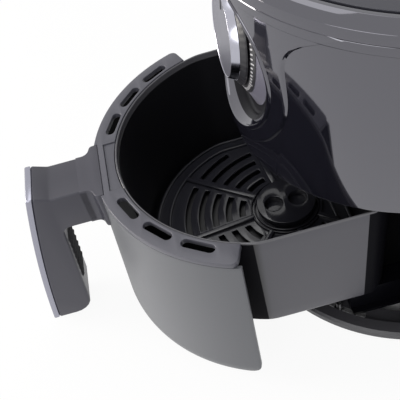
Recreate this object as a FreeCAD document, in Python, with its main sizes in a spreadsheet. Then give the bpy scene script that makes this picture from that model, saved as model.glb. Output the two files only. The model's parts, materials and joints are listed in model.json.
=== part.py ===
import math
import os
import re

import FreeCAD
import Part
import Sketcher

# Countertop air fryer with a pull-out pan: round housing, tilted top, one timer dial on the front.
# Frame: origin on the table under the middle of the whole part with its drawer out,
# +Z up, the drawer pulls out along -Y. Heights and reaches below count from the housing's axis.

SIZES = (
    ("body_radius", 130.0, "outside radius of the housing"),
    ("wall_thick", 3.0, "wall of the plastic shells"),
    ("fit_gap", 0.4, "clearance between pieces that move past each other"),
    ("seat_gap", 0.2, "clearance round a piece that drops into its seat"),
    ("foot_height", 3.0, "height of a rubber foot"),
    ("foot_radius", 9.0, "radius of a rubber foot"),
    ("foot_inset", 26.0, "distance of the feet inside the housing's outside"),
    ("base_overhang", 5.5, "how far the base plate stands out of the housing"),
    ("base_thick", 9.0, "height of the base plate's rim"),
    ("base_floor", 4.0, "thickness of the base plate inside its rim"),
    ("base_edge", 2.0, "bevel on the base plate's rim"),
    ("vent_inset", 12.5, "distance of the base's curved slots inside the housing's outside"),
    ("vent_width", 6.0, "width of the curved slots in the base"),
    ("vent_start", 40.0, "angle from the front where a curved slot starts"),
    ("vent_sweep", 16.0, "angle covered by a curved slot"),
    ("intake_inset", 32.0, "distance of the air intake windows inside the outside"),
    ("intake_width", 12.0, "width of the air intake windows"),
    ("intake_start", 56.0, "angle from the front where an intake window starts"),
    ("intake_sweep", 13.0, "angle covered by an intake window"),
    ("screw_radius", 2.0, "radius of a screw's shank"),
    ("screw_head", 4.0, "radius of a screw's head"),
    ("screw_cap", 2.0, "height of a screw's head"),
    ("screw_inset", 11.0, "distance of the base screws inside the housing's outside"),
    ("head_gap", 3.0, "space between the drawer's flange and the upper housing"),
    ("head_lip", 9.0, "width of the inward lip at that edge"),
    ("hood_overlap", 13.0, "how far the dish reaches above the hood's belt"),
    ("hood_tilt", 7.0, "backward slope of the hood"),
    ("belt_height", 7.0, "height of the hood's belt"),
    ("belt_proud", 1.6, "how far the belt stands out of the housing"),
    ("neck_depth", 2.2, "how far the neck above the belt is drawn in"),
    ("neck_height", 4.4, "height of the neck above the belt"),
    ("neck_bevel", 1.0, "height of the slope between belt and neck"),
    ("shoulder_width", 3.0, "width of the sloping shoulder"),
    ("hood_rise", 6.2, "height of the hood's flat ring above the belt"),
    ("hood_border", 8.5, "distance of the hood's round opening inside the outside"),
    ("hood_ledge", 8.0, "width of the ledge under the top panel"),
    ("groove_width", 2.7, "open groove round the top panel"),
    ("panel_plate", 3.2, "thickness of the top panel"),
    ("panel_bevel", 0.8, "bevel on the top panel's rim"),
    ("opening_half", 73.5, "half angle of the drawer opening in the housing"),
    ("web_angle", 2.0, "angle covered by a jamb's web"),
    ("jamb_reveal", 4.0, "angle by which each jamb shows inside the opening"),
    ("jamb_inset", 5.5, "distance of the jambs inside the housing's outside"),
    ("bay_gap", 1.0, "space between the housing and the drawer bay wall"),
    ("bay_wall", 1.4, "wall of the drawer bay"),
    ("timer_clear", 6.7, "height of the timer's middle over its half side and the shield"),
    ("dial_tilt", 6.7, "upward tilt of the dial axis"),
    ("dish_radius", 59.0, "outside radius of the dial's dish"),
    ("dish_wall", 1.8, "wall of the dish"),
    ("dish_depth", 20.0, "depth of the dish floor behind the housing's front"),
    ("cone_inset", 8.0, "distance of the raised cone inside the dish"),
    ("cone_slope", 12.8, "how far the cone draws in towards its top"),
    ("cone_rise", 7.5, "height of the raised cone"),
    ("scale_width", 5.0, "width of the graduated ring on the cone"),
    ("scale_thick", 0.5, "thickness of the graduated ring"),
    ("collar_rim", 17.0, "width of the raised collar round the dish"),
    ("wing_inset", 28.0, "distance of the collar's wings inside the housing's outside"),
    ("wing_level", 11.0, "height of the wings' lower end above the dial axis"),
    ("collar_sweep", 38.0, "radius of the sweep between collar and belt"),
    ("collar_proud", 1.4, "how far the collar stands out of the housing"),
    ("knob_room", 2.2, "distance of the knob's back inside the cone's top"),
    ("knob_draw", 3.8, "how far the knob's grip draws in"),
    ("ring_width", 3.6, "width of the knob's bright ring"),
    ("ring_seat", 2.0, "width of the ring's seat under the face plate"),
    ("ring_edge", 0.8, "bevel at the back of the bright ring"),
    ("ring_land", 0.5, "flat width at the front of the bright ring"),
    ("knob_grip", 4.4, "height of the knob's dark grip"),
    ("knob_bevel", 5.7, "height of the knob's bright ring"),
    ("knob_plate", 1.6, "thickness of the knob's face plate"),
    ("knob_lift", 1.0, "gap between the knob and the graduated ring"),
    ("spindle_radius", 3.0, "radius of the timer's spindle"),
    ("spindle_fit", 0.06, "running clearance of spindle and shaft"),
    ("spindle_room", 1.0, "clearance of the spindle in the dish"),
    ("boss_wall", 5.0, "wall of the timer's boss"),
    ("timer_side", 42.0, "side of the clockwork timer"),
    ("timer_depth", 26.0, "depth of the clockwork timer"),
    ("timer_gap", 4.0, "space between the dish and the timer"),
    ("grille_width", 92.0, "width of the exhaust grille"),
    ("grille_height", 52.0, "height of the exhaust grille"),
    ("grille_rise", 64.0, "height of the exhaust grille's middle above the housing's lip"),
    ("slat_pitch", 8.0, "pitch of the grille's openings"),
    ("slat_gap", 4.4, "height of one opening of the grille"),
    ("liner_inset", 12.4, "distance of the heating chamber's mouth inside the outside"),
    ("crown_inset", 13.6, "how far the heating chamber steps in above its mouth"),
    ("liner_step", 17.0, "height of the chamber's wide mouth"),
    ("liner_slope", 5.0, "height of the slope between mouth and top"),
    ("liner_height", 54.0, "depth of the heating chamber"),
    ("sheet_thick", 0.8, "thickness of the sheet metal"),
    ("shield_inset", 2.0, "distance of the heat shield's rim inside the chamber's top"),
    ("heater_inset", 20.0, "distance of the element's ring inside the chamber's top"),
    ("heater_tube", 3.4, "radius of the heating element's tube"),
    ("heater_pin", 2.4, "radius of the element's two upright pins"),
    ("heater_drop", 26.0, "drop of the heating element under the chamber's top"),
    ("heater_half", 16.0, "half distance between the element's two legs"),
    ("guard_bar", 2.4, "thickness of the heater guard"),
    ("guard_inner", 42.0, "inside radius of the heater guard's small ring"),
    ("guard_ring", 4.0, "width of the heater guard's rings"),
    ("guard_level", 4.0, "height of the guard above the housing's lip"),
    ("fan_radius", 62.0, "radius of the convection fan"),
    ("fan_depth", 12.0, "height of the convection fan's blades"),
    ("fan_drop", 6.0, "gap between the convection fan and the chamber's top"),
    ("fan_plate", 1.2, "thickness of the fans' blades and plates"),
    ("hub_radius", 11.0, "radius of the fans' hubs"),
    ("shaft_radius", 3.0, "radius of the motor's shaft"),
    ("shaft_room", 5.0, "clearance of the shaft in the chamber and the shield"),
    ("bracket_radius", 58.0, "radius of the motor bracket's foot"),
    ("bracket_height", 8.0, "height of the motor bracket"),
    ("bracket_wall", 2.0, "wall of the motor bracket"),
    ("motor_radius", 32.0, "radius of the motor"),
    ("motor_height", 26.0, "height of the motor"),
    ("motor_bevel", 1.0, "bevel on the motor's rims"),
    ("cooler_radius", 44.0, "radius of the cooling fan"),
    ("cooler_gap", 3.0, "gap between the motor and the cooling fan"),
    ("cooler_depth", 9.0, "height of the cooling fan's blades"),
    ("cutout_radius", 8.0, "radius of the thermal cut-out"),
    ("cutout_height", 9.0, "height of the thermal cut-out"),
    ("cutout_inset", 20.0, "distance of the thermal cut-out inside the shield's rim"),
    ("block_length", 40.0, "length of the terminal block"),
    ("block_width", 13.0, "width of the terminal block"),
    ("block_height", 13.0, "height of the terminal block"),
    ("block_inset", 14.5, "distance of the terminal block inside the shield's rim"),
    ("gland_radius", 7.5, "radius of the cord gland"),
    ("gland_length", 9.0, "length of the cord gland outside the housing"),
    ("gland_taper", 2.0, "how far the gland draws in at its end"),
    ("gland_bore", 4.0, "radius of the cord gland's bore"),
    ("gland_level", 34.0, "height of the cord gland"),
    ("switch_width", 20.0, "width of the interlock switch"),
    ("switch_depth", 12.0, "depth of the interlock switch"),
    ("switch_height", 28.0, "height of the interlock switch"),
    ("switch_level", 92.0, "height of the interlock switch's middle"),
    ("plunger_radius", 2.4, "radius of the switch's plunger"),
    ("plunger_length", 6.0, "length of the plunger outside the switch"),
    ("plunger_travel", 3.0, "travel of the plunger"),
    ("runner_inset", 42.0, "distance of a runner's web inside the housing's outside"),
    ("runner_web", 5.0, "thickness of a runner's web"),
    ("runner_foot", 16.0, "width of a runner's foot and head"),
    ("runner_plate", 3.0, "thickness of a runner's foot and head"),
    ("runner_clear", 2.2, "space between the runners' ends and the bay"),
    ("drawer_out", 114.0, "how far the drawer stands out at rest"),
    ("drawer_shut", 4.0, "how far the shut drawer's centre lies in front of the axis"),
    ("flange_top", 148.0, "height of the drawer's flange"),
    ("flange_thick", 4.0, "thickness of the drawer's flange"),
    ("lip_height", 4.6, "height of the flange's outer lip"),
    ("slot_inset", 11.4, "distance of the flange's air slots inside its rim"),
    ("slot_width", 7.0, "width of an air slot"),
    ("slot_length", 25.0, "length of an air slot"),
    ("slot_first", 23.6, "angle of the first air slot from the front"),
    ("slot_step", 16.0, "angle between air slots"),
    ("cover_half", 26.0, "half width of the screw cover in the flange"),
    ("cover_depth", 6.4, "depth of the screw cover"),
    ("cover_inset", 13.4, "distance of the screw cover inside the flange's rim"),
    ("cover_drop", 1.0, "how far the screw cover lies under the flange's top"),
    ("cover_thick", 1.6, "thickness of the screw cover"),
    ("panel_reveal", 2.0, "angle left free at each end of the front panel"),
    ("panel_bottom", 14.0, "height of the front panel's lower edge"),
    ("panel_flare", 3.0, "how far the front panel flares out at its lower edge"),
    ("panel_wall", 3.0, "thickness of the front panel"),
    ("panel_corner", 12.0, "rounding of the front panel's lower corners"),
    ("pan_bottom", 41.4, "height of the pan's underside"),
    ("rim_drop", 0.6, "how far the pan's rim lies under the flange's top"),
    ("pan_inset", 17.4, "distance of the pan's sides inside the flange's rim"),
    ("pan_taper", 5.9, "how far the pan's sides draw in at the bottom"),
    ("pan_wall", 1.5, "wall of the pan"),
    ("pan_side", 47.0, "length of the pan's straight sides behind its centre"),
    ("pan_corner", 25.0, "rounding of the pan's back corners"),
    ("arm_half", 19.2, "half width of the handle"),
    ("root_half", 28.0, "half width of the handle's root"),
    ("root_inset", 5.3, "distance of the handle's root inside the flange's rim"),
    ("root_depth", 9.0, "depth of the handle's root"),
    ("arm_depth", 34.0, "height of the handle's arm"),
    ("crease_out", 35.0, "distance of the crease on the arm's top outside the flange"),
    ("lip_rise", 5.0, "rise of the arm's outer end"),
    ("grip_out", 47.0, "distance of the grip's outer face at its top outside the flange"),
    ("grip_lean", 28.0, "outward lean of the grip at its tip"),
    ("grip_bow", 2.6, "bow of the grip's outer face"),
    ("hand_room", 36.0, "distance of the grip's inner face at its top outside the flange"),
    ("grip_swell", 8.0, "outward lean of the grip's inner face"),
    ("grip_tip", 6.0, "height of the grip's tip"),
    ("tip_round", 24.0, "rounding of the grip's tip"),
    ("trim_thick", 5.0, "thickness of the bright strip on the grip"),
    ("insert_half", 12.0, "half width of the ribbed strip inside the grip"),
    ("insert_thick", 1.6, "thickness of the ribbed strip"),
    ("insert_drop", 52.0, "distance of the ribbed strip's upper end under the flange's top"),
    ("insert_length", 52.0, "length of the ribbed strip"),
    ("tray_gap", 3.6, "space between the tray and the pan's floor radius"),
    ("tray_stand", 5.1, "height of the tray's plate above the pan's underside"),
    ("tray_thick", 2.0, "thickness of the tray's plate"),
    ("tray_rise", 4.0, "height of the tray's outer ring"),
    ("tray_ring", 5.0, "width of the tray's outer ring"),
    ("tray_turn", 6.0, "turn of the spokes from the drawer's middle"),
    ("spoke_width", 6.0, "width of a spoke"),
    ("spoke_rise", 2.6, "height of a spoke above the plate"),
    ("gap_first", 36.0, "radius of the innermost curved opening in the tray"),
    ("gap_edge", 3.1, "space between the outermost openings and the tray's ring"),
    ("gap_width", 5.0, "width of the tray's openings"),
    ("gap_half", 15.0, "half angle of one opening"),
    ("hub_back", 13.0, "distance of the tray's hub behind the pan's centre"),
    ("hub_ring", 31.0, "outside radius of the tray's hub ring"),
    ("puck_radius", 25.0, "radius of the tray's lifting puck"),
    ("puck_height", 8.0, "height of the lifting puck"),
    ("finger_radius", 8.0, "radius of the puck's finger holes"),
    ("finger_place", 10.5, "distance of a finger hole from the puck's centre"),
    ("finger_floor", 1.0, "thickness left under the finger holes"),
    ("bumper_radius", 3.0, "radius of a silicone bumper"),
)

# Sizes that follow from the sheet's words and from each other.
FOLLOWING = {
    "base_radius": "body_radius + base_overhang",
    "foot_circle": "body_radius - foot_inset",
    "vent_inner": "body_radius - vent_inset",
    "intake_inner": "body_radius - intake_inset",
    "screw_circle": "body_radius - screw_inset",
    "jamb_radius": "body_radius - jamb_inset",
    "jamb_half": "opening_half - jamb_reveal",
    "flange_half": "jamb_half",
    "panel_half": "opening_half - panel_reveal",
    "bay_outer": "body_radius - wall_thick - bay_gap",
    "bay_inner": "bay_outer - bay_wall",
    "runner_place": "body_radius - runner_inset",
    "runner_half": "sqrt((bay_inner - runner_clear) ^ 2 - (runner_place + runner_foot / 2) ^ 2)",
    "gland_sag": "wall_inner - sqrt(wall_inner ^ 2 - (gland_radius + wall_thick) ^ 2)",
    "wall_inner": "body_radius - wall_thick",
    "base_top": "foot_height + base_thick",
    "floor_top": "foot_height + base_floor",
    "head_floor": "flange_top + head_gap",
    "lip_top": "head_floor + wall_thick",
    "lip_inner": "wall_inner - head_lip",
    "liner_radius": "body_radius - liner_inset",
    "liner_crown": "liner_radius - crown_inset",
    "liner_top": "lip_top + liner_height",
    "shield_radius": "liner_crown - shield_inset",
    "shield_top": "liner_top + sheet_thick",
    "heater_radius": "liner_crown - heater_inset",
    "motor_floor": "shield_top + bracket_height",
    "motor_top": "motor_floor + motor_height",
    "cutout_place": "shield_radius - cutout_inset",
    "block_place": "shield_radius - block_inset",
    "dial_height": "shield_top + timer_side / 2 + timer_clear",
    "dish_floor": "-dish_depth",
    "cone_foot": "dish_radius - cone_inset",
    "cone_top": "cone_foot - cone_slope",
    "cone_face": "dish_floor + cone_rise",
    "knob_skirt": "cone_top - knob_room",
    "knob_waist": "knob_skirt - knob_draw",
    "face_radius": "knob_waist - ring_width",
    "knob_back": "cone_face + scale_thick + knob_lift",
    "knob_shoulder": "knob_back + knob_grip",
    "knob_front": "knob_shoulder + knob_bevel",
    "timer_back": "dish_floor - dish_wall - timer_gap - timer_depth",
    "collar_radius": "dish_radius + collar_rim",
    "collar_wing": "body_radius - wing_inset",
    "hood_level": "dial_height + dish_radius - hood_overlap",
    "hood_inner": "body_radius - hood_border",
    "grille_level": "head_floor + grille_rise",
    "slot_radius": "body_radius - slot_inset",
    "cover_place": "body_radius - cover_inset",
    "pan_half": "body_radius - pan_inset",
    "pan_top": "flange_top - rim_drop",
    "pan_floor": "pan_bottom + pan_wall",
    "pan_back": "pan_side + pan_corner - drawer_shut",
    "root_face": "body_radius - root_inset",
    "crease_reach": "body_radius + crease_out",
    "grip_reach": "body_radius + grip_out",
    "grip_inner": "body_radius + hand_room",
    "arm_under": "flange_top - arm_depth",
    "insert_top": "flange_top - insert_drop",
    "insert_bottom": "insert_top - insert_length",
    "tray_half": "pan_half - pan_taper - pan_wall - tray_gap",
    "tray_corner": "pan_corner - pan_wall - tray_gap",
    "tray_level": "pan_bottom + tray_stand",
    "tray_top": "tray_level + tray_thick",
    "hub_place": "drawer_out - hub_back",
    "field_half": "tray_half - tray_ring",
    "field_corner": "tray_corner - tray_ring",
    "axis_place": "(drawer_out + grip_reach + grip_lean + trim_thick - body_radius - gland_length) / 2",
}

BLADE_COUNT = 8
SPOKE_COUNT = 8
GAP_COUNT = 6
GUARD_SPOKE_COUNT = 6
FIRST_GUESS = 10.0

doc = FreeCAD.newDocument("air_fryer")
sheet = doc.addObject("Spreadsheet::Sheet", "sizes")
for row, (alias, value, note) in enumerate(SIZES, start=1):
    sheet.set("A%d" % row, note)
    sheet.set("B%d" % row, str(value))
    sheet.setAlias("B%d" % row, alias)
doc.recompute()

nodes = []
X_AXIS = FreeCAD.Vector(1, 0, 0)
Z_AXIS = FreeCAD.Vector(0, 0, 1)


def linked(formula):
    """A formula in the words of the sheet and of FOLLOWING, as an expression of the document."""
    def spelled(match):
        word = match.group(0)
        if word in FOLLOWING:
            return "(%s)" % linked(FOLLOWING[word])
        return "sizes." + word
    return re.sub(r"[a-z]+(?:_[a-z]+)+", spelled, formula)


def bind(item, formulas):
    for name, formula in formulas.items():
        item.setExpression(name, linked(formula))


def place(item, x="0", y="0", z="0", axis=Z_AXIS, turn=None):
    """Put an item at a point counted from the housing's axis, turned about that point."""
    item.Placement = FreeCAD.Placement(FreeCAD.Vector(), FreeCAD.Rotation(axis, 30 if turn else 0))
    bind(item, {"Placement.Base.x": x, "Placement.Base.y": "axis_place + %s" % y,
                "Placement.Base.z": z})
    if turn:
        bind(item, {"Placement.Rotation.Angle": turn})
    return item


def node(item, label):
    item.Label = label
    nodes.append(item)
    return item


def box(name, length, width, height, **where):
    item = doc.addObject("Part::Box", name)
    bind(item, {"Length": length, "Width": width, "Height": height})
    return place(item, **where)


def rod(name, radius, height, **where):
    item = doc.addObject("Part::Cylinder", name)
    bind(item, {"Radius": radius, "Height": height})
    return place(item, **where)


def sector(name, radius, bottom, top, start, sweep, y="0"):
    """A slice of a cylinder; start is the angle from the front, positive towards +X."""
    item = doc.addObject("Part::Cylinder", name)
    bind(item, {"Radius": radius, "Height": "%s - (%s)" % (top, bottom), "Angle": sweep})
    return place(item, y=y, z=bottom, turn="270 + %s" % start)


def cut(name, base, *tools):
    item = doc.addObject("Part::Cut", name)
    item.Base = base
    item.Tool = tools[0] if len(tools) == 1 else fuse(name + "_tools", *tools)
    return item


def fuse(name, *shapes):
    item = doc.addObject("Part::MultiFuse", name)
    item.Shapes = list(shapes)
    return item


def common(name, first, second):
    item = doc.addObject("Part::Common", name)
    item.Base = first
    item.Tool = second
    return item


def group(name, *shapes):
    item = doc.addObject("Part::Compound", name)
    item.Links = list(shapes)
    return item


def band(name, outer, inner, bottom, top, start, sweep, y="0"):
    """A slice of a ring."""
    solid = sector(name + "_outer", outer, bottom, top, start, sweep, y=y)
    core = rod(name + "_core", inner, "%s - (%s) + 2 * wall_thick" % (top, bottom), y=y,
               z="%s - wall_thick" % bottom)
    return cut(name, solid, core)


def new_body(name):
    body = doc.addObject("PartDesign::Body", name)
    body.Label = name
    return body


def plane_of(body, role):
    return next(item for item in body.Origin.OriginFeatures if item.Role == role)


def outline(body, role, corners, offset=None):
    """A closed sketch with straight sides; each corner is a pair of formulas."""
    sketch = body.newObject("Sketcher::SketchObject", body.Name + "_outline")
    sketch.AttachmentSupport = (plane_of(body, role), [""])
    sketch.MapMode = "FlatFace"
    if offset:
        bind(sketch, {"AttachmentOffset.Base.z": offset})
    count = len(corners)
    ring = [FreeCAD.Vector(size("body_radius"), 0, 0)]
    for step in range(1, count + 1):
        turned = FreeCAD.Rotation(Z_AXIS, 360.0 * step / count).multVec(ring[0])
        ring.append(turned)
    for start, end in zip(ring[:-1], ring[1:]):
        sketch.addGeometry(Part.LineSegment(start, end), False)
    for side in range(count):
        sketch.addConstraint(Sketcher.Constraint("Coincident", side, 2, (side + 1) % count, 1))
    for side, formulas in enumerate(corners):
        for kind, axis, formula in zip(("DistanceX", "DistanceY"), (-2, -1), formulas):
            if formula == "0":
                sketch.addConstraint(Sketcher.Constraint("PointOnObject", side, 1, axis))
                continue
            number = sketch.addConstraint(Sketcher.Constraint(kind, -1, 1, side, 1, FIRST_GUESS))
            sketch.setExpression("Constraints[%d]" % number, linked(formula))
    return sketch


def revolved(name, corners, role="XZ_Plane", sweep=None):
    """A body turned from an outline of radius and height about the upright axis."""
    body = new_body(name)
    sketch = outline(body, role, corners)
    turned = body.newObject("PartDesign::Revolution", name + "_turn")
    turned.Profile = sketch
    turned.ReferenceAxis = (sketch, ["V_Axis"])
    turned.Angle = 360.0
    if sweep:
        turned.Midplane = True
        bind(turned, {"Angle": sweep})
    return place(body)


def padded(name, role, corners, length):
    """A body padded from an outline, half to each side of its plane."""
    body = new_body(name)
    sketch = outline(body, role, corners)
    pad = body.newObject("PartDesign::Pad", name + "_pad")
    pad.Profile = sketch
    pad.Midplane = True
    bind(pad, {"Length": length})
    return body


def edges_near(shape, spots, reach=0.5):
    """Names of the edges whose middles lie at the given points."""
    names = []
    for number, edge in enumerate(shape.Edges, start=1):
        middle = edge.valueAt((edge.FirstParameter + edge.LastParameter) / 2)
        if any(middle.distanceToPoint(spot) < reach for spot in spots):
            names.append("Edge%d" % number)
    return names


def rounded(body, spots, radius):
    """Round the edges of a body whose middles lie at the given points."""
    doc.recompute()
    tip = body.Tip
    fillet = body.newObject("PartDesign::Fillet", "%s_round_%d" % (body.Name, len(body.Group)))
    fillet.Base = (tip, edges_near(tip.Shape, spots))
    bind(fillet, {"Radius": radius})
    return body


def size(alias):
    return float(sheet.get(alias))


def on_dial(item):
    """Stand a piece that was turned about +Z on the dial's axis, facing the front."""
    return place(item, y="-body_radius", z="dial_height", axis=X_AXIS, turn="90 - dial_tilt")


def on_hood(item):
    """Lean a piece that was turned about +Z back with the hood."""
    return place(item, z="hood_level", axis=X_AXIS, turn="-hood_tilt")


def dish_hole(name):
    """The round hole for the dial's dish, through the front of the housing."""
    return rod(name, "dish_radius + seat_gap", "5 * dish_depth",
               y="-body_radius + 2 * dish_depth * cos(dial_tilt)",
               z="dial_height - 2 * dish_depth * sin(dial_tilt)",
               axis=X_AXIS, turn="90 - dial_tilt")


def above_belt(name):
    """Everything above the hood's sloping lower face."""
    return rod(name, "2 * body_radius", "2 * body_radius",
               y="-belt_height * sin(hood_tilt)", z="hood_level - belt_height * cos(hood_tilt)",
               axis=X_AXIS, turn="-hood_tilt")


def pan_outline(body, name, half, corner_radius, level):
    """A sketch of the pan: round front, straight sides, rounded back corners."""
    sketch = body.newObject("Sketcher::SketchObject", name)
    sketch.AttachmentSupport = (plane_of(body, "XY_Plane"), [""])
    sketch.MapMode = "FlatFace"
    bind(sketch, {"AttachmentOffset.Base.z": level})
    wide = size("body_radius") - size("pan_inset")
    side = size("pan_side")
    corner = size("pan_corner")
    vector = FreeCAD.Vector
    back = side + corner
    inset = wide - corner
    front = Part.Arc(vector(-wide, 0, 0), vector(0, -wide, 0), vector(wide, 0, 0))
    right = Part.LineSegment(vector(wide, 0, 0), vector(wide, side, 0))
    rear = Part.LineSegment(vector(inset, back, 0), vector(-inset, back, 0))
    left = Part.LineSegment(vector(-wide, side, 0), vector(-wide, 0, 0))
    bulge = corner * math.sqrt(0.5)
    right_turn = Part.Arc(vector(wide, side, 0), vector(inset + bulge, side + bulge, 0),
                          vector(inset, back, 0))
    left_turn = Part.Arc(vector(-inset, back, 0), vector(-inset - bulge, side + bulge, 0),
                         vector(-wide, side, 0))
    for piece in (front, right, right_turn, rear, left_turn, left):
        sketch.addGeometry(piece, False)
    rules = [Sketcher.Constraint("Coincident", 0, 3, -1, 1)]
    for this in range(6):
        following = (this + 1) % 6
        rules.append(Sketcher.Constraint("Tangent", this, 2, following, 1))
    rules.append(Sketcher.Constraint("Vertical", 1))
    rules.append(Sketcher.Constraint("Horizontal", 3))
    rules.append(Sketcher.Constraint("Vertical", 5))
    rules.append(Sketcher.Constraint("Equal", 2, 4))
    for rule in rules:
        sketch.addConstraint(rule)
    for kind, formula, value in (
            (("Radius", 0), half, wide),
            (("Radius", 2), corner_radius, corner),
            (("DistanceY", 1, 1, 1, 2), "pan_side", side)):
        number = sketch.addConstraint(Sketcher.Constraint(*kind, value))
        sketch.setExpression("Constraints[%d]" % number, linked(formula))
    return sketch


def build_base():
    plate = revolved("base_disc", (
        ("0", "foot_height"),
        ("base_radius - base_edge", "foot_height"),
        ("base_radius", "foot_height + base_edge"),
        ("base_radius", "base_top - base_edge"),
        ("base_radius - base_edge", "base_top"),
        ("bay_outer - bay_wall", "base_top"),
        ("bay_outer - bay_wall", "floor_top"),
        ("0", "floor_top")))
    tools = []
    for side, sign in (("left", "-"), ("right", "")):
        for kind in ("vent", "intake"):
            start = "%s_start" % kind
            if sign:
                start = "-(%s_start + %s_sweep)" % (kind, kind)
            tools.append(band("%s_%s" % (kind, side), "%s_inner + %s_width" % (kind, kind),
                              "%s_inner" % kind, "0", "base_top", "(%s)" % start, "%s_sweep" % kind))
    feet = []
    screws = []
    for number in range(4):
        turn = 45 + 90 * number
        east = "cos(%d)" % turn
        north = "sin(%d)" % turn
        feet.append(rod("foot_%d" % number, "foot_radius", "foot_height",
                        x="foot_circle * " + east, y="foot_circle * " + north))
        spot = {"x": "screw_circle * " + east, "y": "screw_circle * " + north}
        tools.append(rod("screw_hole_%d" % number, "screw_radius + seat_gap", "2 * base_thick",
                         z="0", **spot))
        tools.append(rod("screw_seat_%d" % number, "screw_head + seat_gap", "screw_cap",
                         z="foot_height", **spot))
        shank = rod("screw_shank_%d" % number, "screw_radius", "base_top - foot_height",
                    z="foot_height", **spot)
        cap = rod("screw_cap_%d" % number, "screw_head", "screw_cap", z="foot_height", **spot)
        screws.append(fuse("screw_%d" % number, shank, cap))
    node(cut("base", plate, *tools), "base_plate")
    node(group("feet", *feet), "rubber_feet")
    node(group("screws", *screws), "base_screws")


def build_lower_housing():
    outer = band("column_wall", "body_radius", "body_radius - wall_thick", "base_top", "head_floor",
                 "opening_half", "360 - 2 * opening_half")
    pieces = [outer]
    for side, start, web in (("right", "jamb_half", "opening_half"),
                             ("left", "-(opening_half + web_angle)", "-(opening_half + web_angle)")):
        pieces.append(band("jamb_" + side, "jamb_radius", "jamb_radius - wall_thick", "base_top",
                           "head_floor", start, "opening_half - jamb_half + web_angle"))
        pieces.append(band("web_" + side, "body_radius", "jamb_radius - wall_thick", "base_top",
                           "head_floor", web, "web_angle"))
    gland_hole = rod("gland_hole", "gland_radius + seat_gap", "4 * wall_thick", axis=X_AXIS,
                     turn="-90", y="body_radius - 3 * wall_thick", z="gland_level")
    node(cut("column", fuse("column_solid", *pieces), gland_hole), "lower_housing")

    bay = band("bay_wall_band", "bay_outer", "bay_outer - bay_wall", "base_top", "head_floor",
               "(opening_half + 2 * web_angle)", "360 - 2 * opening_half - 4 * web_angle")
    node(cut("bay", bay, rod("bay_gland_hole", "gland_radius + 2 * wall_thick", "8 * wall_thick",
                             axis=X_AXIS, turn="-90", y="body_radius - 5 * wall_thick",
                             z="gland_level")), "drawer_bay")

    gland = revolved("gland", (
        ("gland_bore", "-2 * wall_thick - gland_sag"),
        ("gland_radius + wall_thick", "-2 * wall_thick - gland_sag"),
        ("gland_radius + wall_thick", "-wall_thick - gland_sag - seat_gap"),
        ("gland_radius", "-wall_thick - gland_sag - seat_gap"),
        ("gland_radius", "gland_length / 2"),
        ("gland_radius - gland_taper", "gland_length"),
        ("gland_bore", "gland_length")))
    place(gland, y="body_radius", z="gland_level", axis=X_AXIS, turn="-90")
    node(gland, "cord_gland")

    rails = []
    web_top = "pan_bottom - fit_gap"
    for side, way in (("left", "-1"), ("right", "1")):
        centre = "%s * runner_place" % way
        long = "2 * runner_half"
        front = "-runner_half"
        foot = box("rail_foot_" + side, "runner_foot", long, "runner_plate", y=front, z="floor_top",
                   x=centre + " - runner_foot / 2")
        web = box("rail_web_" + side, "runner_web", long, "%s - %s" % (web_top, "floor_top"),
                  x=centre + " - runner_web / 2", y=front, z="floor_top")
        head = box("rail_head_" + side, "runner_foot", long, "runner_plate", y=front,
                   x=centre + " - runner_foot / 2", z=web_top + " - runner_plate")
        rails.append(fuse("rail_" + side, foot, web, head))
    node(group("rails", *rails), "drawer_runners")

    back = "bay_outer - bay_wall"
    front = "pan_back + plunger_length + 2 * fit_gap"
    low = "switch_level - switch_height / 2"
    case = box("switch_case", "switch_width", "switch_depth", "switch_height",
               x="-switch_width / 2", y=front, z=low)
    bore = rod("switch_bore", "plunger_radius + spindle_fit", "switch_depth / 2 + plunger_radius",
               axis=X_AXIS, turn="-90", y=front + " - plunger_radius", z="switch_level")
    node(cut("switch", case, bore), "interlock_switch")
    pin = rod("plunger", "plunger_radius", "plunger_length + switch_depth / 2 - plunger_travel - fit_gap",
              axis=X_AXIS, turn="-90", y=front + " - plunger_length", z="switch_level")
    node(pin, "switch_plunger")
    arm = box("switch_arm", "switch_width", "%s - (%s + switch_depth) + bay_wall" % (back, front),
              "2 * wall_thick", x="-switch_width / 2", y=front + " + switch_depth", z=low)
    curve = rod("switch_arm_curve", back, "2 * switch_height", z=low + " - wall_thick")
    node(common("switch_holder", arm, curve), "switch_bracket")


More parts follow.
